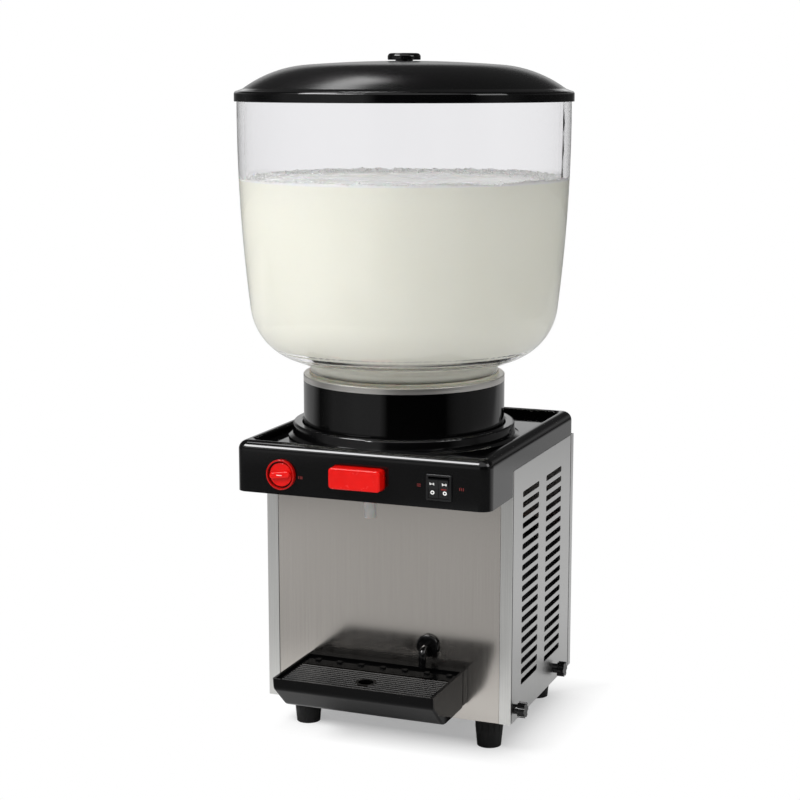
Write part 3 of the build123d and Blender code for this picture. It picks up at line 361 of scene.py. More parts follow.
near_paper = add(tree, "ShaderNodeBsdfDiffuse", Color=grey(paper_mirrored)).outputs[0]
for_mirrors = mixed(tree, fade(tree, reach, lit_to, sheet_from), near_paper, glow(tree, Color=mirrored))
through = rays["Is Transmission Ray"]
matt = sum_of(tree, "GREATER_THAN", rays["Diffuse Depth"], any_bounce)
for_drink = sum_of(tree, "MULTIPLY", matt, through)
drink_glow = glow(tree, Strength=sum_of(tree, "MULTIPLY_ADD", x, drink_light_slope, drink_light))
seen = sum_of(tree, "MAXIMUM", rays["Is Camera Ray"], sum_of(tree, "SUBTRACT", through, for_drink))
others = mixed(tree, for_drink, mixed(tree, rays["Is Glossy Ray"], lit, for_mirrors), drink_glow)
plug(tree, tree.nodes["Material Output"].inputs["Surface"], mixed(tree, seen, others, for_camera))
floor_mesh.materials.append(paper)
print("floor wears", paper.name, "and lights the drink with", drink_light)

# %% [markdown]
# The world stands for the rest of the room. Mirrors see the cards in front, the bright backdrop low
# down behind, and a dark ceiling: the domed lid mirrors the ceiling behind the machine, so that is
# what makes it black. A pale card hangs overhead in front. Rounded edges mirror it, so it draws the
# bright line along the cover's front edge and the lid's rim. Lamps could draw these lines too, but they
# would also light the floor.

# %% What mirrors see of the room
ceiling_grey, ceiling_from, ceiling_to = 0.06, 0.17, 0.30
overhead_grey, overhead_front, overhead_back, overhead_from, overhead_to = 1.0, -0.35, -0.15, 0.34, 0.46
backdrop_light, backdrop_rise = 0.92, 0.15
backdrop_sides = ((-0.75, 0.3), (-0.50, 1.0), (-0.20, 1.0), (0.05, 0.25))

world = bpy.data.worlds.new("studio_room")
bpy.context.scene.world = world
world.use_nodes = True
tree = world.node_tree
outward = add(tree, "ShaderNodeTexCoord").outputs["Generated"]
x, y, z = add(tree, "ShaderNodeSeparateXYZ", Vector=outward).outputs

low_down = sum_of(tree, "MULTIPLY", between(tree, z, backdrop_far_grey, backdrop_light, 0.0, backdrop_rise),
                  row_of_greys(tree, x, -1.0, 1.0, backdrop_sides))
walls = blend(tree, fade(tree, y, front_to, back_from), studio_cards(tree, x), low_down)
on_card = sum_of(tree, "MULTIPLY", fade(tree, y, overhead_back, overhead_front),
                 fade(tree, z, overhead_from, overhead_to))
ceiling = blend(tree, on_card, grey(ceiling_grey), grey(overhead_grey))
room = blend(tree, fade(tree, z, ceiling_from, ceiling_to), walls, ceiling)
print("room for mirrors: ceiling", ceiling_grey, "and backdrop", backdrop_light)

# %% [markdown]
# The camera sees the room plain white, through the clear bowl too. Matt surfaces get an even, soft
# light, stronger from above. The drink gets its light through the bowl, a little more from the left.
# One even light for all would leave the drink flat, because the bowl keeps most lamp light out.

# %% Soft light of the room
soft_light, soft_top, top_from, top_to = 0.42, 0.85, 0.55, 0.75
soft_left, soft_right, soft_reach = 1.00, 0.72, 0.8
bowl_white = 0.93

rays = add(tree, "ShaderNodeLightPath").outputs
through = rays["Is Transmission Ray"]
not_camera = blend(tree, through, room, grey(bowl_white))
seen = blend(tree, rays["Is Camera Ray"], not_camera, grey(plain_white))
from_above = between(tree, z, soft_light, soft_top, top_from, top_to)
sideways = between(tree, x, soft_left, soft_right, -soft_reach, soft_reach)
soft = blend(tree, through, from_above, sideways)
matt = sum_of(tree, "GREATER_THAN", rays["Diffuse Depth"], any_bounce)
plug(tree, tree.nodes["Background"].inputs["Color"], blend(tree, matt, seen, soft))
print("soft light", soft_light, "at the sides and", soft_top, "from above")

# %% [markdown]
# Three soft boxes do the rest of the lighting. The large key stands high on the left of the camera: it
# lights the front, the controls and the paper. A small one stands high behind on the left, where the
# domed lid mirrors it as a broad shine. A weak one on the right opens the shaded side. Point lamps
# would give hard shadows, which the picture doesn't have. Lamps are hidden from the camera, so no view
# shows them as white cards.

# %% Lamps
machine_middle, bowl_middle, lid_middle = (0.0, 0.0, 0.4), (0.0, 0.0, 0.5), (0.0, 0.0, 0.7)


def soft_box(name, place, aim, width, height, power):
    light = bpy.data.lights.new(name, "AREA")
    light.shape = "RECTANGLE"
    light.size = width
    light.size_y = height
    light.energy = power
    lamp = bpy.data.objects.new(name, light)
    lamp.location = place
    lamp.rotation_euler = (Vector(aim) - Vector(place)).to_track_quat("-Z", "Y").to_euler()
    lamp.visible_camera = False
    bpy.context.collection.objects.link(lamp)
    print(name, power, "W")


soft_box("key_left", (-1.00, -1.35, 2.00), bowl_middle, width=1.4, height=0.7, power=52.0)
soft_box("top_behind_left", (-0.80, 0.46, 2.30), lid_middle, width=1.0, height=0.4, power=5.0)
soft_box("fill_right", (1.90, -0.35, 1.30), machine_middle, width=0.8, height=1.0, power=9.0)

# %% [markdown]
# Now the finishes. Three more helpers shorten them: one feeds the colour and the roughness to the main
# shader, one raises the surface with a bump, and one gives a finish to solids of the frame.

# %% Helpers for finishes
def feed(tree, shader, colour, roughness):
    plug(tree, shader.inputs["Base Color"], colour)
    plug(tree, shader.inputs["Roughness"], roughness)


def relief(tree, shader, height, depth, strength):
    """Raises the surface by a 0 to 1 height, depth metres at most."""
    bump = add(tree, "ShaderNodeBump", Height=height, Distance=depth, Strength=strength)
    plug(tree, shader.inputs["Normal"], bump.outputs["Normal"])
    return bump


def dress(finish, *names):
    """Gives a finish to solids of the frame."""
    for name in names:
        slots = nodes[name].data.materials
        slots.clear()
        slots.append(finish)
    print(finish.name, "on", len(names), "pieces")


print("helpers for finishes are ready")

# %% [markdown]
# The cabinet is brushed stainless sheet. Brushing leaves thousands of fine scratches that all run
# one way. The shader's own anisotropy could stretch the highlights, but it shows no scratches close
# up. So the noise behind it is squeezed along one axis: very fine across the grain, long along it. The
# same streaks vary the colour a little, the roughness a little, and lift a hair's breadth of relief. A
# broad, slow variation on top keeps large panels from looking printed.

# %% Brushed steel
upright_grain = (220.0, 220.0, 2.0)
no_grain = (40.0, 40.0, 40.0)
cloud_dark, cloud_light, cloud_share = (0.93, 0.93, 0.92), (1.0, 1.0, 1.0), 0.6
smoother, rougher = 0.02, 0.03


def brushed_steel(name, light, dark, rough, grain):
    finish, tree, shader = new_finish(name, Metallic=1.0)
    streaks = speckle(tree, scale=5.0, detail=5.0, stretch=grain)
    clouds = tint(tree, speckle(tree, scale=6.0, detail=2.0), cloud_dark, cloud_light)
    shade = add(tree, "ShaderNodeMix", {"data_type": "RGBA", "blend_type": "MULTIPLY"}, Factor=cloud_share,
                A=tint(tree, streaks, dark, light), B=clouds)
    feed(tree, shader, shade.outputs["Result"], between(tree, streaks, rough - smoother, rough + rougher))
    relief(tree, shader, streaks, depth=0.00001, strength=0.2)
    return finish


front_steel = brushed_steel("front_steel", light=(0.675, 0.640, 0.600), dark=(0.635, 0.600, 0.560),
                            rough=0.16, grain=upright_grain)
post_steel = brushed_steel("post_steel", light=(0.86, 0.86, 0.84), dark=(0.78, 0.78, 0.76), rough=0.30,
                           grain=upright_grain)
side_steel = brushed_steel("side_steel", light=(0.70, 0.70, 0.695), dark=(0.64, 0.64, 0.635), rough=0.32,
                           grain=upright_grain)
bright_steel = brushed_steel("bright_steel", light=(0.72, 0.71, 0.69), dark=(0.62, 0.61, 0.59), rough=0.20,
                             grain=no_grain)
dress(front_steel, "front_panel")
dress(post_steel, "front_post_right", "front_post_left")
dress(side_steel, "side_panel_right", "side_panel_left", "rear_panel")
dress(bright_steel, "rear_screws", "dial_shaft", "rocker_pin", "lid_nut", "button_spring")

# %% [markdown]
# The pot is spun on a lathe, so its scratches run round it, not along it. A turned pattern could be
# built from the angle round the axis. Noise read almost from the height alone is simpler, and gives
# rings that follow the turning.

# %% Spun steel
turned_rings = (1.0, 1.0, 160.0)

pot_steel, tree, shader = new_finish("pot_steel", Metallic=1.0)
rings = speckle(tree, scale=5.0, detail=4.0, stretch=turned_rings)
feed(tree, shader, tint(tree, rings, (0.82, 0.80, 0.76), (0.92, 0.90, 0.86)),
     between(tree, rings, 0.30, 0.42))
relief(tree, shader, rings, depth=0.00002, strength=0.3)
dress(pot_steel, "evaporator_pot")

# %% [markdown]
# Hidden sheet metal is zinc plated. Zinc freezes into flat crystals a few millimetres across, each
# with its own shine. Noise has no such edges, so a Voronoi pattern copies them: one random grey and
# one random roughness a cell.

# %% Zinc plate
crystals_a_metre = 160.0

plated_steel, tree, shader = new_finish("plated_steel", Metallic=1.0)
crystals = add(tree, "ShaderNodeTexVoronoi", Vector=place_of(tree), Scale=crystals_a_metre, Randomness=1.0)
facet = add(tree, "ShaderNodeRGBToBW", Color=crystals.outputs["Color"]).outputs[0]
feed(tree, shader, tint(tree, facet, (0.42, 0.43, 0.45), (0.62, 0.63, 0.64), start=0.2, end=0.8),
     between(tree, facet, 0.30, 0.48))
dress(plated_steel, "base_tray", "deck_plate", "anvil_bracket", "fan_strap", "fan_shroud")

# %% [markdown]
# The black plastics differ in gloss and in the skin of the mould more than in colour: the cover is
# polished, the lid is duller, the tray and fittings carry a fine grain. One finish with many knobs
# could serve all of them, and a function does just that. A polished moulding is never perfectly even,
# so each gets a slow swell called orange peel, a few specks of dust, and faint wiping marks that change
# only the roughness.

# %% Black plastics
blue_cast = 1.06
dust_gain, dust_floor, dust_from, dust_to = 1.5, 0.0006, 0.58, 0.88
wiping_spread = 0.12


def black_plastic(name, black, rough, swell, grain_scale, grain_depth, shine=0.5):
    finish, tree, shader = new_finish(name, IOR=1.5, Specular_IOR_Level=shine)
    wiping = speckle(tree, scale=9.0, detail=5.0, stretch=(1.0, 4.0, 1.6))
    dust = speckle(tree, scale=900.0, detail=2.0)
    clean = (black, black, blue_cast * black)
    dusty = tuple(dust_gain * part + dust_floor for part in clean)
    feed(tree, shader, tint(tree, dust, clean, dusty, dust_from, dust_to),
         between(tree, wiping, (1.0 - wiping_spread) * rough, (1.0 + wiping_spread) * rough))
    peel = relief(tree, shader, speckle(tree, scale=55.0, detail=1.0), swell, strength=0.25)
    grain = add(tree, "ShaderNodeBump", Height=speckle(tree, grain_scale, detail=2.0), Distance=grain_depth,
                Strength=0.4)
    plug(tree, peel.inputs["Normal"], grain.outputs["Normal"])
    return finish


# The numbers: black, roughness, depth of the swell, grains to a metre, depth of the grain.
black_gloss = black_plastic("black_gloss", 0.0022, 0.05, 0.00003, 1400.0, 0.000002)
black_lid = black_plastic("black_lid", 0.0018, 0.22, 0.00001, 1400.0, 0.000003)
black_sleeve = black_plastic("black_sleeve", 0.0010, 0.06, 0.00002, 1400.0, 0.000002)
black_moulded = black_plastic("black_moulded", 0.0080, 0.38, 0.00003, 2600.0, 0.00003)
black_switch = black_plastic("black_switch", 0.0050, 0.28, 0.00002, 3200.0, 0.00002)
black_fittings = black_plastic("black_fittings", 0.0025, 0.07, 0.00003, 1800.0, 0.000005, shine=0.35)
black_tray = black_plastic("black_tray", 0.0015, 0.08, 0.00003, 2200.0, 0.000005, shine=0.10)
black_grid = black_plastic("black_grid", 0.0012, 0.06, 0.00002, 2200.0, 0.000003, shine=0.18)
dress(black_gloss, "top_cover", "lid_knob")
dress(black_lid, "lid")
dress(black_sleeve, "pot_sleeve")
dress(black_moulded, "underside_plate", "cord_gland", "thermostat")
dress(black_switch, "switch_housing", "rocker_left", "rocker_right")
dress(black_fittings, "drain_elbow", "drain_flange", "star_knob_front", "star_knob_rear")
dress(black_tray, "drip_tray", "tray_hanger")
dress(black_grid, "drip_grid")

# %% [markdown]
# The lid's dome is satin, but its rim is polished and mirrors in sharp lines. The rim could be a solid
# of its own, but on the real lid it is the same moulding. So the roughness changes at the height of
# the rim's top edge. The lid would also leave the drink below it in deep shade, while in the picture
# the drink's top is bright. So soft light may pass the lid on its way there.

# %% Lid rim
rim_height, rim_blend, rim_rough = 0.0115, 0.002, 0.05

tree = black_lid.node_tree
lid_roughness = tree.nodes["Principled BSDF"].inputs["Roughness"]
rim_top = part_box("lid")[0].z + rim_height
height = add(tree, "ShaderNodeSeparateXYZ", Vector=place_of(tree)).outputs["Z"]
on_dome = fade(tree, height, rim_top, rim_top + rim_blend)
dome_rough = lid_roughness.links[0].from_socket
rim_or_dome = add(tree, "ShaderNodeMix", Factor=on_dome, A=rim_rough, B=dome_rough)
plug(tree, lid_roughness, rim_or_dome.outputs["Result"])
nodes["lid"].visible_diffuse = False
print("rim polished up to", round(rim_top, 4), "m")

# %% [markdown]
# Rubber is the opposite of polish: it scatters light, and handling leaves paler dusty patches. A plain
# dark colour would look like the plastics, so the patches vary both the colour and the roughness.

# %% Rubber
black_rubber, tree, shader = new_finish("black_rubber", Specular_IOR_Level=0.3)
scuffs = speckle(tree, scale=120.0, detail=6.0)
feed(tree, shader, tint(tree, scuffs, (0.003, 0.003, 0.003), (0.014, 0.0135, 0.013), start=0.45, end=0.8),
     between(tree, scuffs, 0.45, 0.70))
relief(tree, shader, speckle(tree, scale=2200.0), depth=0.00004, strength=0.5)
dress(black_rubber, "foot_front_right", "foot_front_left", "foot_rear_right", "foot_rear_left",
      "compressor_mounts")

# %% [markdown]
# The button and the knob are the same red moulding, and the knob's ring is a deeper red. The colour is
# strong and even, so the detail is in the surface: slow clouds of pigment, a satin roughness and the
# mould's fine skin. A little light goes into red plastic and comes back, which rounds off the edges.

# %% Red controls
def red_plastic(name, deep, bright):
    finish, tree, shader = new_finish(name, Specular_IOR_Level=0.3, Subsurface_Weight=0.08,
                                      Subsurface_Scale=0.002, Subsurface_Radius=(1.0, 0.2, 0.1))
    feed(tree, shader, tint(tree, speckle(tree, scale=60.0, detail=4.0), deep, bright),
         between(tree, speckle(tree, scale=150.0, detail=4.0), 0.16, 0.28))
    relief(tree, shader, speckle(tree, scale=1800.0, detail=2.0), depth=0.00001, strength=0.4)
    return finish


red_controls = red_plastic("red_controls", deep=(0.60, 0.003, 0.0015), bright=(0.70, 0.004, 0.002))
red_ring = red_plastic("red_ring", deep=(0.34, 0.002, 0.001), bright=(0.42, 0.003, 0.0015))
dress(red_controls, "dispense_button", "thermostat_knob")
dress(red_ring, "knob_bezel")

# %% [markdown]
# The bowl is clear plastic, several millimetres thick. A half-transparent surface would look like
# film. Real refraction makes its look by itself: the bright and dark lines at its edges, and a drink
# that seems to reach the outer face. Clear plastic is never quite colourless, so each face takes a
# little light. Faint wiping marks blur it.

# %% Clear bowl
clear_bowl, tree, shader = new_finish("clear_bowl", IOR=1.49, Transmission_Weight=1.0)
wiping = speckle(tree, scale=30.0, detail=6.0, stretch=(1.0, 1.0, 0.2))
feed(tree, shader, tint(tree, wiping, (0.960, 0.958, 0.968), (0.952, 0.950, 0.960), start=0.4, end=0.8),
     between(tree, wiping, 0.0, 0.02, start=0.5, end=0.9))
dress(clear_bowl, "bowl")

# %% [markdown]
# Two small soft pieces are silicone: the pale gasket under the bowl and the milky hose end. Light goes
# a little way into silicone before it comes back. Plain paint would look hard, so subsurface
# scattering softens it.

# %% Silicone
smears_a_cloud, grains_a_cloud = 4, 6


def silicone(name, dark, light, scale):
    finish, tree, shader = new_finish(name, IOR=1.43, Subsurface_Weight=0.35, Subsurface_Scale=0.004)
    feed(tree, shader, tint(tree, speckle(tree, scale), dark, light),
         between(tree, speckle(tree, smears_a_cloud * scale), 0.28, 0.45))
    relief(tree, shader, speckle(tree, grains_a_cloud * scale), depth=0.00003, strength=0.4)
    return finish


dress(silicone("pale_gasket", (0.56, 0.53, 0.43), (0.66, 0.63, 0.54), scale=90.0), "bowl_gasket")
dress(silicone("grey_hose", (0.44, 0.435, 0.42), (0.53, 0.525, 0.51), scale=140.0), "outlet_hose")

# %% [markdown]
# The machinery shows through the slots and from below. It could stay one dark grey, but the slots let
# enough light in to tell copper from paint. So it gets plain workshop finishes: tarnished copper,
# near-black fins that keep the slots in front of them dark, a grey fan, satin paint on the compressor,
# foam, nylon and a dark magnet.

# %% Machinery
stained_rougher, clean_smoother = 0.10, 0.06
grains_a_stain = 12


def machine_finish(name, dark, light, rough, scale, metal=0.0, depth=0.00005):
    finish, tree, shader = new_finish(name, Metallic=metal)
    stains = speckle(tree, scale, detail=5.0)
    feed(tree, shader, tint(tree, stains, dark, light, start=0.32, end=0.68),
         between(tree, stains, rough + stained_rougher, rough - clean_smoother))
    relief(tree, shader, speckle(tree, grains_a_stain * scale), depth, strength=0.4)
    return finish


# The numbers: dark colour, light colour, roughness, stains to a metre.
copper = machine_finish("copper", (0.36, 0.15, 0.08), (0.72, 0.34, 0.20), 0.28, 70.0, metal=1.0,
                        depth=0.00001)
black_fins = machine_finish("black_fins", (0.006, 0.006, 0.006), (0.016, 0.016, 0.017), 0.45, 90.0)
motor_case = machine_finish("motor_case", (0.40, 0.41, 0.42), (0.55, 0.56, 0.57), 0.36, 60.0, metal=1.0,
                            depth=0.00003)
compressor_paint = machine_finish("compressor_paint", (0.008, 0.008, 0.009), (0.018, 0.018, 0.019), 0.34,
                                  40.0)
grey_fan = machine_finish("grey_fan", (0.05, 0.05, 0.052), (0.08, 0.08, 0.083), 0.42, 50.0)
white_nylon = machine_finish("white_nylon", (0.62, 0.61, 0.57), (0.74, 0.73, 0.70), 0.40, 60.0)
foam = machine_finish("foam", (0.52, 0.44, 0.24), (0.66, 0.58, 0.36), 0.85, 45.0, depth=0.0006)
magnet = machine_finish("magnet", (0.030, 0.030, 0.034), (0.055, 0.055, 0.058), 0.45, 80.0)
dress(copper, "evaporator_coil", "suction_line", "discharge_line")
dress(black_fins, "condenser")
dress(motor_case, "mixer_motor", "fan_motor")
dress(compressor_paint, "compressor")
dress(grey_fan, "fan")
dress(white_nylon, "impeller", "pinch_yoke")
dress(foam, "foam_jacket")
dress(magnet, "drive_magnet")

# %% [markdown]
# Behind the button a coil spring pushes it back out. The solid spring keeps its length, but a real
# one gets shorter as the button goes in. It could be wound again as a curve, but the solid's own shape
# is exact. So a copy of it, with a mesh of its own, stands in for it on the cabinet, where its back end
# rests on the fixed bar.

# %% Spring behind the button
button_press = next(joint for joint in frame["joints"] if joint["name"] == "button_press")
button_travel = button_press["range_m"][1]
spring_low, spring_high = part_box("button_spring")
spring_length = spring_high.y - spring_low.y
press_spring = bpy.data.objects.new("press_spring", nodes["button_spring"].data.copy())
bpy.context.collection.objects.link(press_spring)
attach(press_spring, "cabinet")
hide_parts("button_spring")
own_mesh(press_spring)
print("spring", round(spring_length, 4), "m long, shortened by", button_travel)

# %% [markdown]
# The drink fills the bowl, so it takes the bowl's own inside as its shape: at each height a ray from
# the axis finds the wall. A plain cylinder would leave gaps at the rounded foot. The mesh goes a hair
# into the wall, because a wet wall has no air gap, and with one the clear wall would hide the drink
# behind mirror reflections.

# %% Drink against the wall
bowl_low, bowl_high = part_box("bowl")
axis_y = (bowl_low.y + bowl_high.y) / 2
drink_level = 0.595
neck_gap, wet_overlap = 0.0004, 0.00015
drink_low = bowl_low.z + neck_gap


def inside_radius(height):
    found, spot, _, _ = nodes["bowl"].ray_cast((0.0, axis_y, height), (1.0, 0.0, 0.0))
    return spot.x if found else 0.0


def wall_point(height, angle):
    radius = inside_radius(height) + wet_overlap
    return (radius * math.cos(angle), axis_y + radius * math.sin(angle), height)


drink_rim = inside_radius(drink_level) + wet_overlap
print("drink up to", drink_level, "m, where the wall's radius is", round(drink_rim, 4))

# %% [markdown]
# The stirrer leaves slow swells and islands of froth on the top, and froth piles up against the wall
# with a ragged edge. A displacement in the material would only show in the render. Here noise moves
# the points of the mesh itself, so the froth has a real outline behind the wall.

# %% Drink surface
swell_height, calm_width = 0.0004, 0.012
island_height, island_from = 0.0040, 0.12
slow_x, slow_y, slow_layer, slow_share = 12.0, 17.0, 0.3, 0.7
quick_x, quick_y, quick_layer, quick_share = 60.0, 85.0, 4.1, 0.5
drift = 3.0
froth_height, froth_width = 0.0050, 0.0060
froth_base = 0.60
froth_lumps = ((2.5, 0.40), (14.0, 0.30), (60.0, 0.25))


def froth_at_wall(angle):
    """The height of the froth at the wall, in metres."""
    way = Vector((math.cos(angle), math.sin(angle), 0.0))
    return froth_height * (froth_base + sum(share * noise.noise(lumps * way) for lumps, share in froth_lumps))


def surface_point(radius, angle):
    """A place on the drink's top: slow swells, islands of froth, and more froth at the wall."""
    x = radius * math.cos(angle)
    y = radius * math.sin(angle)
    inward = drink_rim - radius
    slow = noise.noise(Vector((slow_x * x, slow_y * y, slow_layer)))
    quick = noise.noise(Vector((quick_x * x + drift * slow, quick_y * y, quick_layer)))
    island = max(0.0, slow_share * slow + quick_share * quick - island_from)
    open_water = min(1.0, inward / calm_width)
    pile = froth_at_wall(angle) * math.exp(-(inward / froth_width) ** 2)
    rise = open_water * (swell_height * slow + island_height * island) + pile
    return (x, axis_y + y, drink_level + rise)


print("froth at the wall stands", round(1000 * froth_at_wall(0.0), 1), "mm high on the right")

# %% [markdown]
# The mesh is rings of points joined by four-sided faces: up the wall, over the ragged edge of the
# froth, and in over the top to the axis. A filled circle would give long thin faces that shade badly.
# The rings crowd at the wall, where the froth needs them. Wall and top get separate finishes.

# %% Drink mesh
wall_steps, around, top_rings, ring_crowding = 48, 672, 44, 1.5


def drink_rings():
    """Rings of points from the neck up the wall, then over the top towards the axis."""
    angles = [2 * math.pi * turn / around for turn in range(around)]
    for step in range(wall_steps + 1):
        height = drink_low + (drink_level - drink_low) * step / wall_steps
        yield [wall_point(height, angle) for angle in angles]
    yield [wall_point(drink_level + froth_at_wall(angle), angle) for angle in angles]
    for ring in range(1, top_rings):
        radius = drink_rim * (1.0 - (ring / top_rings) ** ring_crowding)
        yield [surface_point(radius, angle) for angle in angles]


def drink_mesh():
    shape = bmesh.new()
    rows = [[shape.verts.new(point) for point in ring] for ring in drink_rings()]
    for index, (lower, upper) in enumerate(zip(rows, rows[1:])):
        for turn in range(around):
            following = (turn + 1) % around
            face = shape.faces.new((lower[turn], lower[following], upper[following], upper[turn]))
            face.smooth = True
            face.material_index = int(index >= wall_steps)
    shape.faces.new(rows[-1]).material_index = 1
    shape.faces.new(list(reversed(rows[0])))
    mesh = bpy.data.meshes.new("drink")
    shape.to_mesh(mesh)
    shape.free()
    return mesh


drink = bpy.data.objects.new("drink", drink_mesh())
bpy.context.collection.objects.link(drink)
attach(drink, "bowl_body")
print("drink", len(drink.data.polygons), "faces")

# %% [markdown]
# A yoghurt drink is opaque and faintly yellow in shade. A volume of tiny droplets could be simulated,
# but it is slow and noisy. Light goes a few millimetres into the drink before it comes back, and
# subsurface scattering gives just that.

# %% Drink body
drink_body, tree, shader = new_finish("drink_body", IOR=1.35, Subsurface_Weight=0.2, Subsurface_Scale=0.006,
                                      Subsurface_Radius=(1.0, 0.95, 0.85))
curd = speckle(tree, scale=26.0, detail=5.0, stretch=(1.0, 1.0, 0.5))
feed(tree, shader, tint(tree, curd, (0.955, 0.951, 0.845), (0.970, 0.966, 0.865)),
     between(tree, curd, 0.30, 0.42))
drink.data.materials.append(drink_body)
print("drink's wall wears", drink_body.name)

# %% [markdown]
# The top is wet and streaked: thin froth lies in drawn-out white lines on a slightly darker drink, and
# gathers white along the wall. Painting the streaks on a picture would fix their size. Two noises and
# the distance from the axis, added up, put the white where froth would drift.

# %% Drink top
froth_ring, froth_ring_end, froth_ring_gain = 0.022, 0.002, 0.25
fizz_share = 0.18

drink_top, tree, shader = new_finish("drink_top", IOR=1.35, Subsurface_Weight=0.1, Subsurface_Scale=0.004)
streaks = speckle(tree, scale=16.0, detail=6.0, stretch=(1.0, 1.7, 1.0))
fizz = speckle(tree, scale=320.0)
flat = add(tree, "ShaderNodeVectorMath", {"operation": "MULTIPLY_ADD"}, Vector=place_of(tree))
flat.inputs[1].default_value = (1.0, 1.0, 0.0)
flat.inputs[2].default_value = (0.0, -axis_y, 0.0)
from_axis = add(tree, "ShaderNodeVectorMath", {"operation": "LENGTH"}, Vector=flat.outputs["Vector"])
at_wall = between(tree, from_axis.outputs["Value"], 0.0, froth_ring_gain, drink_rim - froth_ring,
                  drink_rim - froth_ring_end)
frothy = sum_of(tree, "ADD", sum_of(tree, "MULTIPLY_ADD", fizz, fizz_share, streaks), at_wall)
feed(tree, shader, colours(tree, frothy, (0.40, (0.92, 0.915, 0.82)), (0.56, (0.95, 0.95, 0.88)),
                           (0.68, (0.98, 0.98, 0.96))),
     between(tree, streaks, 0.12, 0.32))
relief(tree, shader, frothy, depth=0.0006, strength=0.2)
drink.data.materials.append(drink_top)
print("drink's top wears", drink_top.name)

# %% [markdown]
# Where the surface meets the wall, small bubbles gather. Particles could scatter them, but then they
# would not be part of one mesh. So one small ball is copied to each place, half sunk in the drink. The
# bubbles crowd at the wall and thin out towards the middle, and a fixed seed keeps them the same every
# run.

# %% Bubbles
bubble_count, bubble_seed = 900, 7
bubble_small, bubble_large = 0.0004, 0.0017
bubble_spread, bubble_limit = 0.009, 0.10


def ball():
    """The corners and faces of a small ball of radius 1."""
    shape = bmesh.new()
    bmesh.ops.create_icosphere(shape, subdivisions=2, radius=1.0)
    corners = [corner.co.copy() for corner in shape.verts]
    faces = [[corner.index for corner in face.verts] for face in shape.faces]
    shape.free()
    return corners, faces


def bubble_mesh():
    chance = random.Random(bubble_seed)
    corners, faces = ball()
    points, sides = [], []
    for _ in range(bubble_count):
        size = chance.uniform(bubble_small, bubble_large)
        angle = chance.uniform(0.0, 2 * math.pi)
        inward = min(chance.expovariate(1 / bubble_spread), bubble_limit)
        middle = Vector(surface_point(drink_rim - size - inward, angle))
        sides += [[len(points) + corner for corner in face] for face in faces]
        points += [middle + size * corner for corner in corners]
    mesh = bpy.data.meshes.new("froth_bubbles")
    mesh.from_pydata(points, [], sides)
    mesh.shade_smooth()
    return mesh


bubbles = bpy.data.objects.new("froth_bubbles", bubble_mesh())
bpy.context.collection.objects.link(bubbles)
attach(bubbles, "bowl_body")
print("bubbles", len(bubbles.data.polygons), "faces")

# %% [markdown]
# A bubble's skin is a thin wet film, smoother and whiter than the drink. It could be clear, as a soap
# bubble is, but these films are full of drink. So the skin is white and shiny, a little uneven.

# %% Bubble skin
bubble_skin, tree, shader = new_finish("bubble_skin", IOR=1.33)
film = speckle(tree, scale=400.0, detail=2.0)
feed(tree, shader, tint(tree, film, (0.92, 0.92, 0.89), (0.97, 0.97, 0.95)), between(tree, film, 0.10, 0.25))
bubbles.data.materials.append(bubble_skin)
print("bubbles wear", bubble_skin.name)

# %% [markdown]
# The printed marks are plain bars and rings. They could be drawn as curves, but a list of corners in
# metres is all that a flat mark needs. A ring runs round its outer edge and back along its inner one,
# so it is one outline too.

# %% Outlines of the marks
def bar(width, height):
    half, half_height = width / 2, height / 2
    return [(-half, -half_height), (half, -half_height), (half, half_height), (-half, half_height)]


def ring_outline(outer, inner, steps=28):
    turns = [2 * math.pi * step / steps for step in range(steps + 1)]
    outside = [(outer * math.cos(turn), outer * math.sin(turn)) for turn in turns]
    inside = [(inner * math.cos(turn), inner * math.sin(turn)) for turn in reversed(turns)]
    return outside + inside


print("a ring has", len(ring_outline(outer=1.0, inner=0.5)), "corners")

# %% [markdown]
# The marks lie on curved or tilted faces. They could be painted in the materials, but print has a
# crisp edge and a thickness of its own. So a ray from the front finds the face behind each mark and the
# way it faces, and the mark is laid there: its outline, filled and given a thickness. Half of that lies
# under the face, so no gap shows.

# %% Laying the marks
print_thickness = 0.00012
ray_distance = 0.05


def stamp(shape, node, x, z, outline):
    """Lays one outline, in metres, on a solid's front face at x and z."""
    _, spot, facing, _ = nodes[node].ray_cast((x, solid_low.y - ray_distance, z), (0.0, 1.0, 0.0))
    upward = (Vector((0.0, 0.0, 1.0)) - facing * facing.z).normalized()
    across = upward.cross(facing)
    print_back = [spot + across * u + upward * v - facing * print_thickness for u, v in outline]
    base = shape.faces.new([shape.verts.new(point) for point in print_back])
    raised = bmesh.ops.extrude_face_region(shape, geom=[base])
    moved = [item for item in raised["geom"] if isinstance(item, bmesh.types.BMVert)]
    bmesh.ops.translate(shape, verts=moved, vec=2 * print_thickness * facing)


def print_marks(name, body, finish, stamps):
    shape = bmesh.new()
    for node, x, z, outline in stamps:
        stamp(shape, node, x, z, outline)
    bmesh.ops.recalc_face_normals(shape, faces=shape.faces)
    mesh = bpy.data.meshes.new(name)
    shape.to_mesh(mesh)
    shape.free()
    mesh.materials.append(finish)
    marks = bpy.data.objects.new(name, mesh)
    bpy.context.collection.objects.link(marks)
    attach(marks, body)
    print(name, len(stamps), "marks")


def middle_of(node):
    low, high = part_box(node)
    return (low.x + high.x) / 2, (low.z + high.z) / 2


white_print = machine_finish("white_print", (0.74, 0.74, 0.72), (0.88, 0.88, 0.86), 0.45, 400.0,
                             depth=0.00001)
red_print = machine_finish("red_print", (0.13, 0.006, 0.005), (0.20, 0.009, 0.007), 0.45, 400.0,
                           depth=0.00001)
print("print finishes", white_print.name, red_print.name)

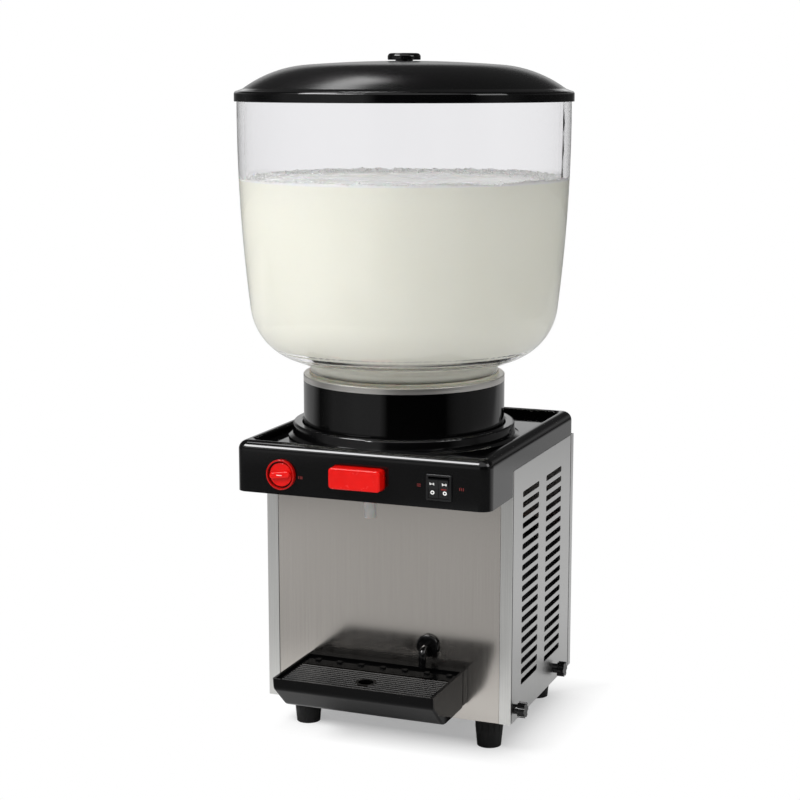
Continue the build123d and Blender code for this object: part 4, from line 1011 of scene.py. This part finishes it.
# %% [markdown]
# Each rocker carries the usual sign for on at the top, lying on its side with a short foot at each
# end, and a ring for off below. A text object would bring a font along, and bars and rings are all
# these signs need. The right-hand rocker also has a small red window.

# %% Marks on the rockers
mark_rise, mark_out = 0.0045, 0.0011
sign_half = 0.0019
sign_bar, sign_foot, sign_ring = bar(0.0034, 0.0009), bar(0.0010, 0.0026), ring_outline(0.0021, 0.0010)
window_drop = 0.0008
window = bar(0.0060, 0.0014)

for side, outward in (("left", -1), ("right", 1)):
    rocker = f"rocker_{side}"
    x, z = middle_of(rocker)
    x += outward * mark_out
    print_marks(f"rocker_marks_{side}", f"rocker_{side}_body", white_print, [
        (rocker, x, z + mark_rise, sign_bar),
        (rocker, x - sign_half, z + mark_rise, sign_foot),
        (rocker, x + sign_half, z + mark_rise, sign_foot),
        (rocker, x, z - mark_rise, sign_ring),
    ])

x, z = middle_of("rocker_right")
print_marks("rocker_window", "rocker_right_body", red_print, [("rocker_right", x, z - window_drop, window)])

# %% [markdown]
# The knob has one white line across its grip, and it turns with the knob. Beside the knob and the
# switch are a few short dark red dashes. They are placed from the middles of the pieces they belong
# to, so they move along if the cover is changed.

# %% Marks on the knob and the cover
pointer = bar(0.0058, 0.0006)
dash, flat_dash = bar(0.0008, 0.0030), bar(0.0040, 0.0008)
dash_gap, dashes, flat_dashes = 0.0019, 3, 2
beside_knob, below_knob, beside_switch = 0.0190, 0.002, 0.0215

x, z = middle_of("thermostat_knob")
print_marks("knob_pointer", "dial_body", white_print, [("thermostat_knob", x, z, pointer)])

switch_x, mark_z = middle_of("switch_housing")
knob_x, _ = middle_of("knob_bezel")
cover_marks = []
for step in range(dashes):
    along = step * dash_gap
    cover_marks.append(("top_cover", knob_x + beside_knob + along, mark_z - below_knob, dash))
    cover_marks.append(("top_cover", switch_x + beside_switch + along, mark_z, dash))
for step in range(flat_dashes):
    cover_marks.append(("top_cover", switch_x - beside_switch, mark_z + step * dash_gap, flat_dash))
print_marks("cover_marks", "cabinet", red_print, cover_marks)
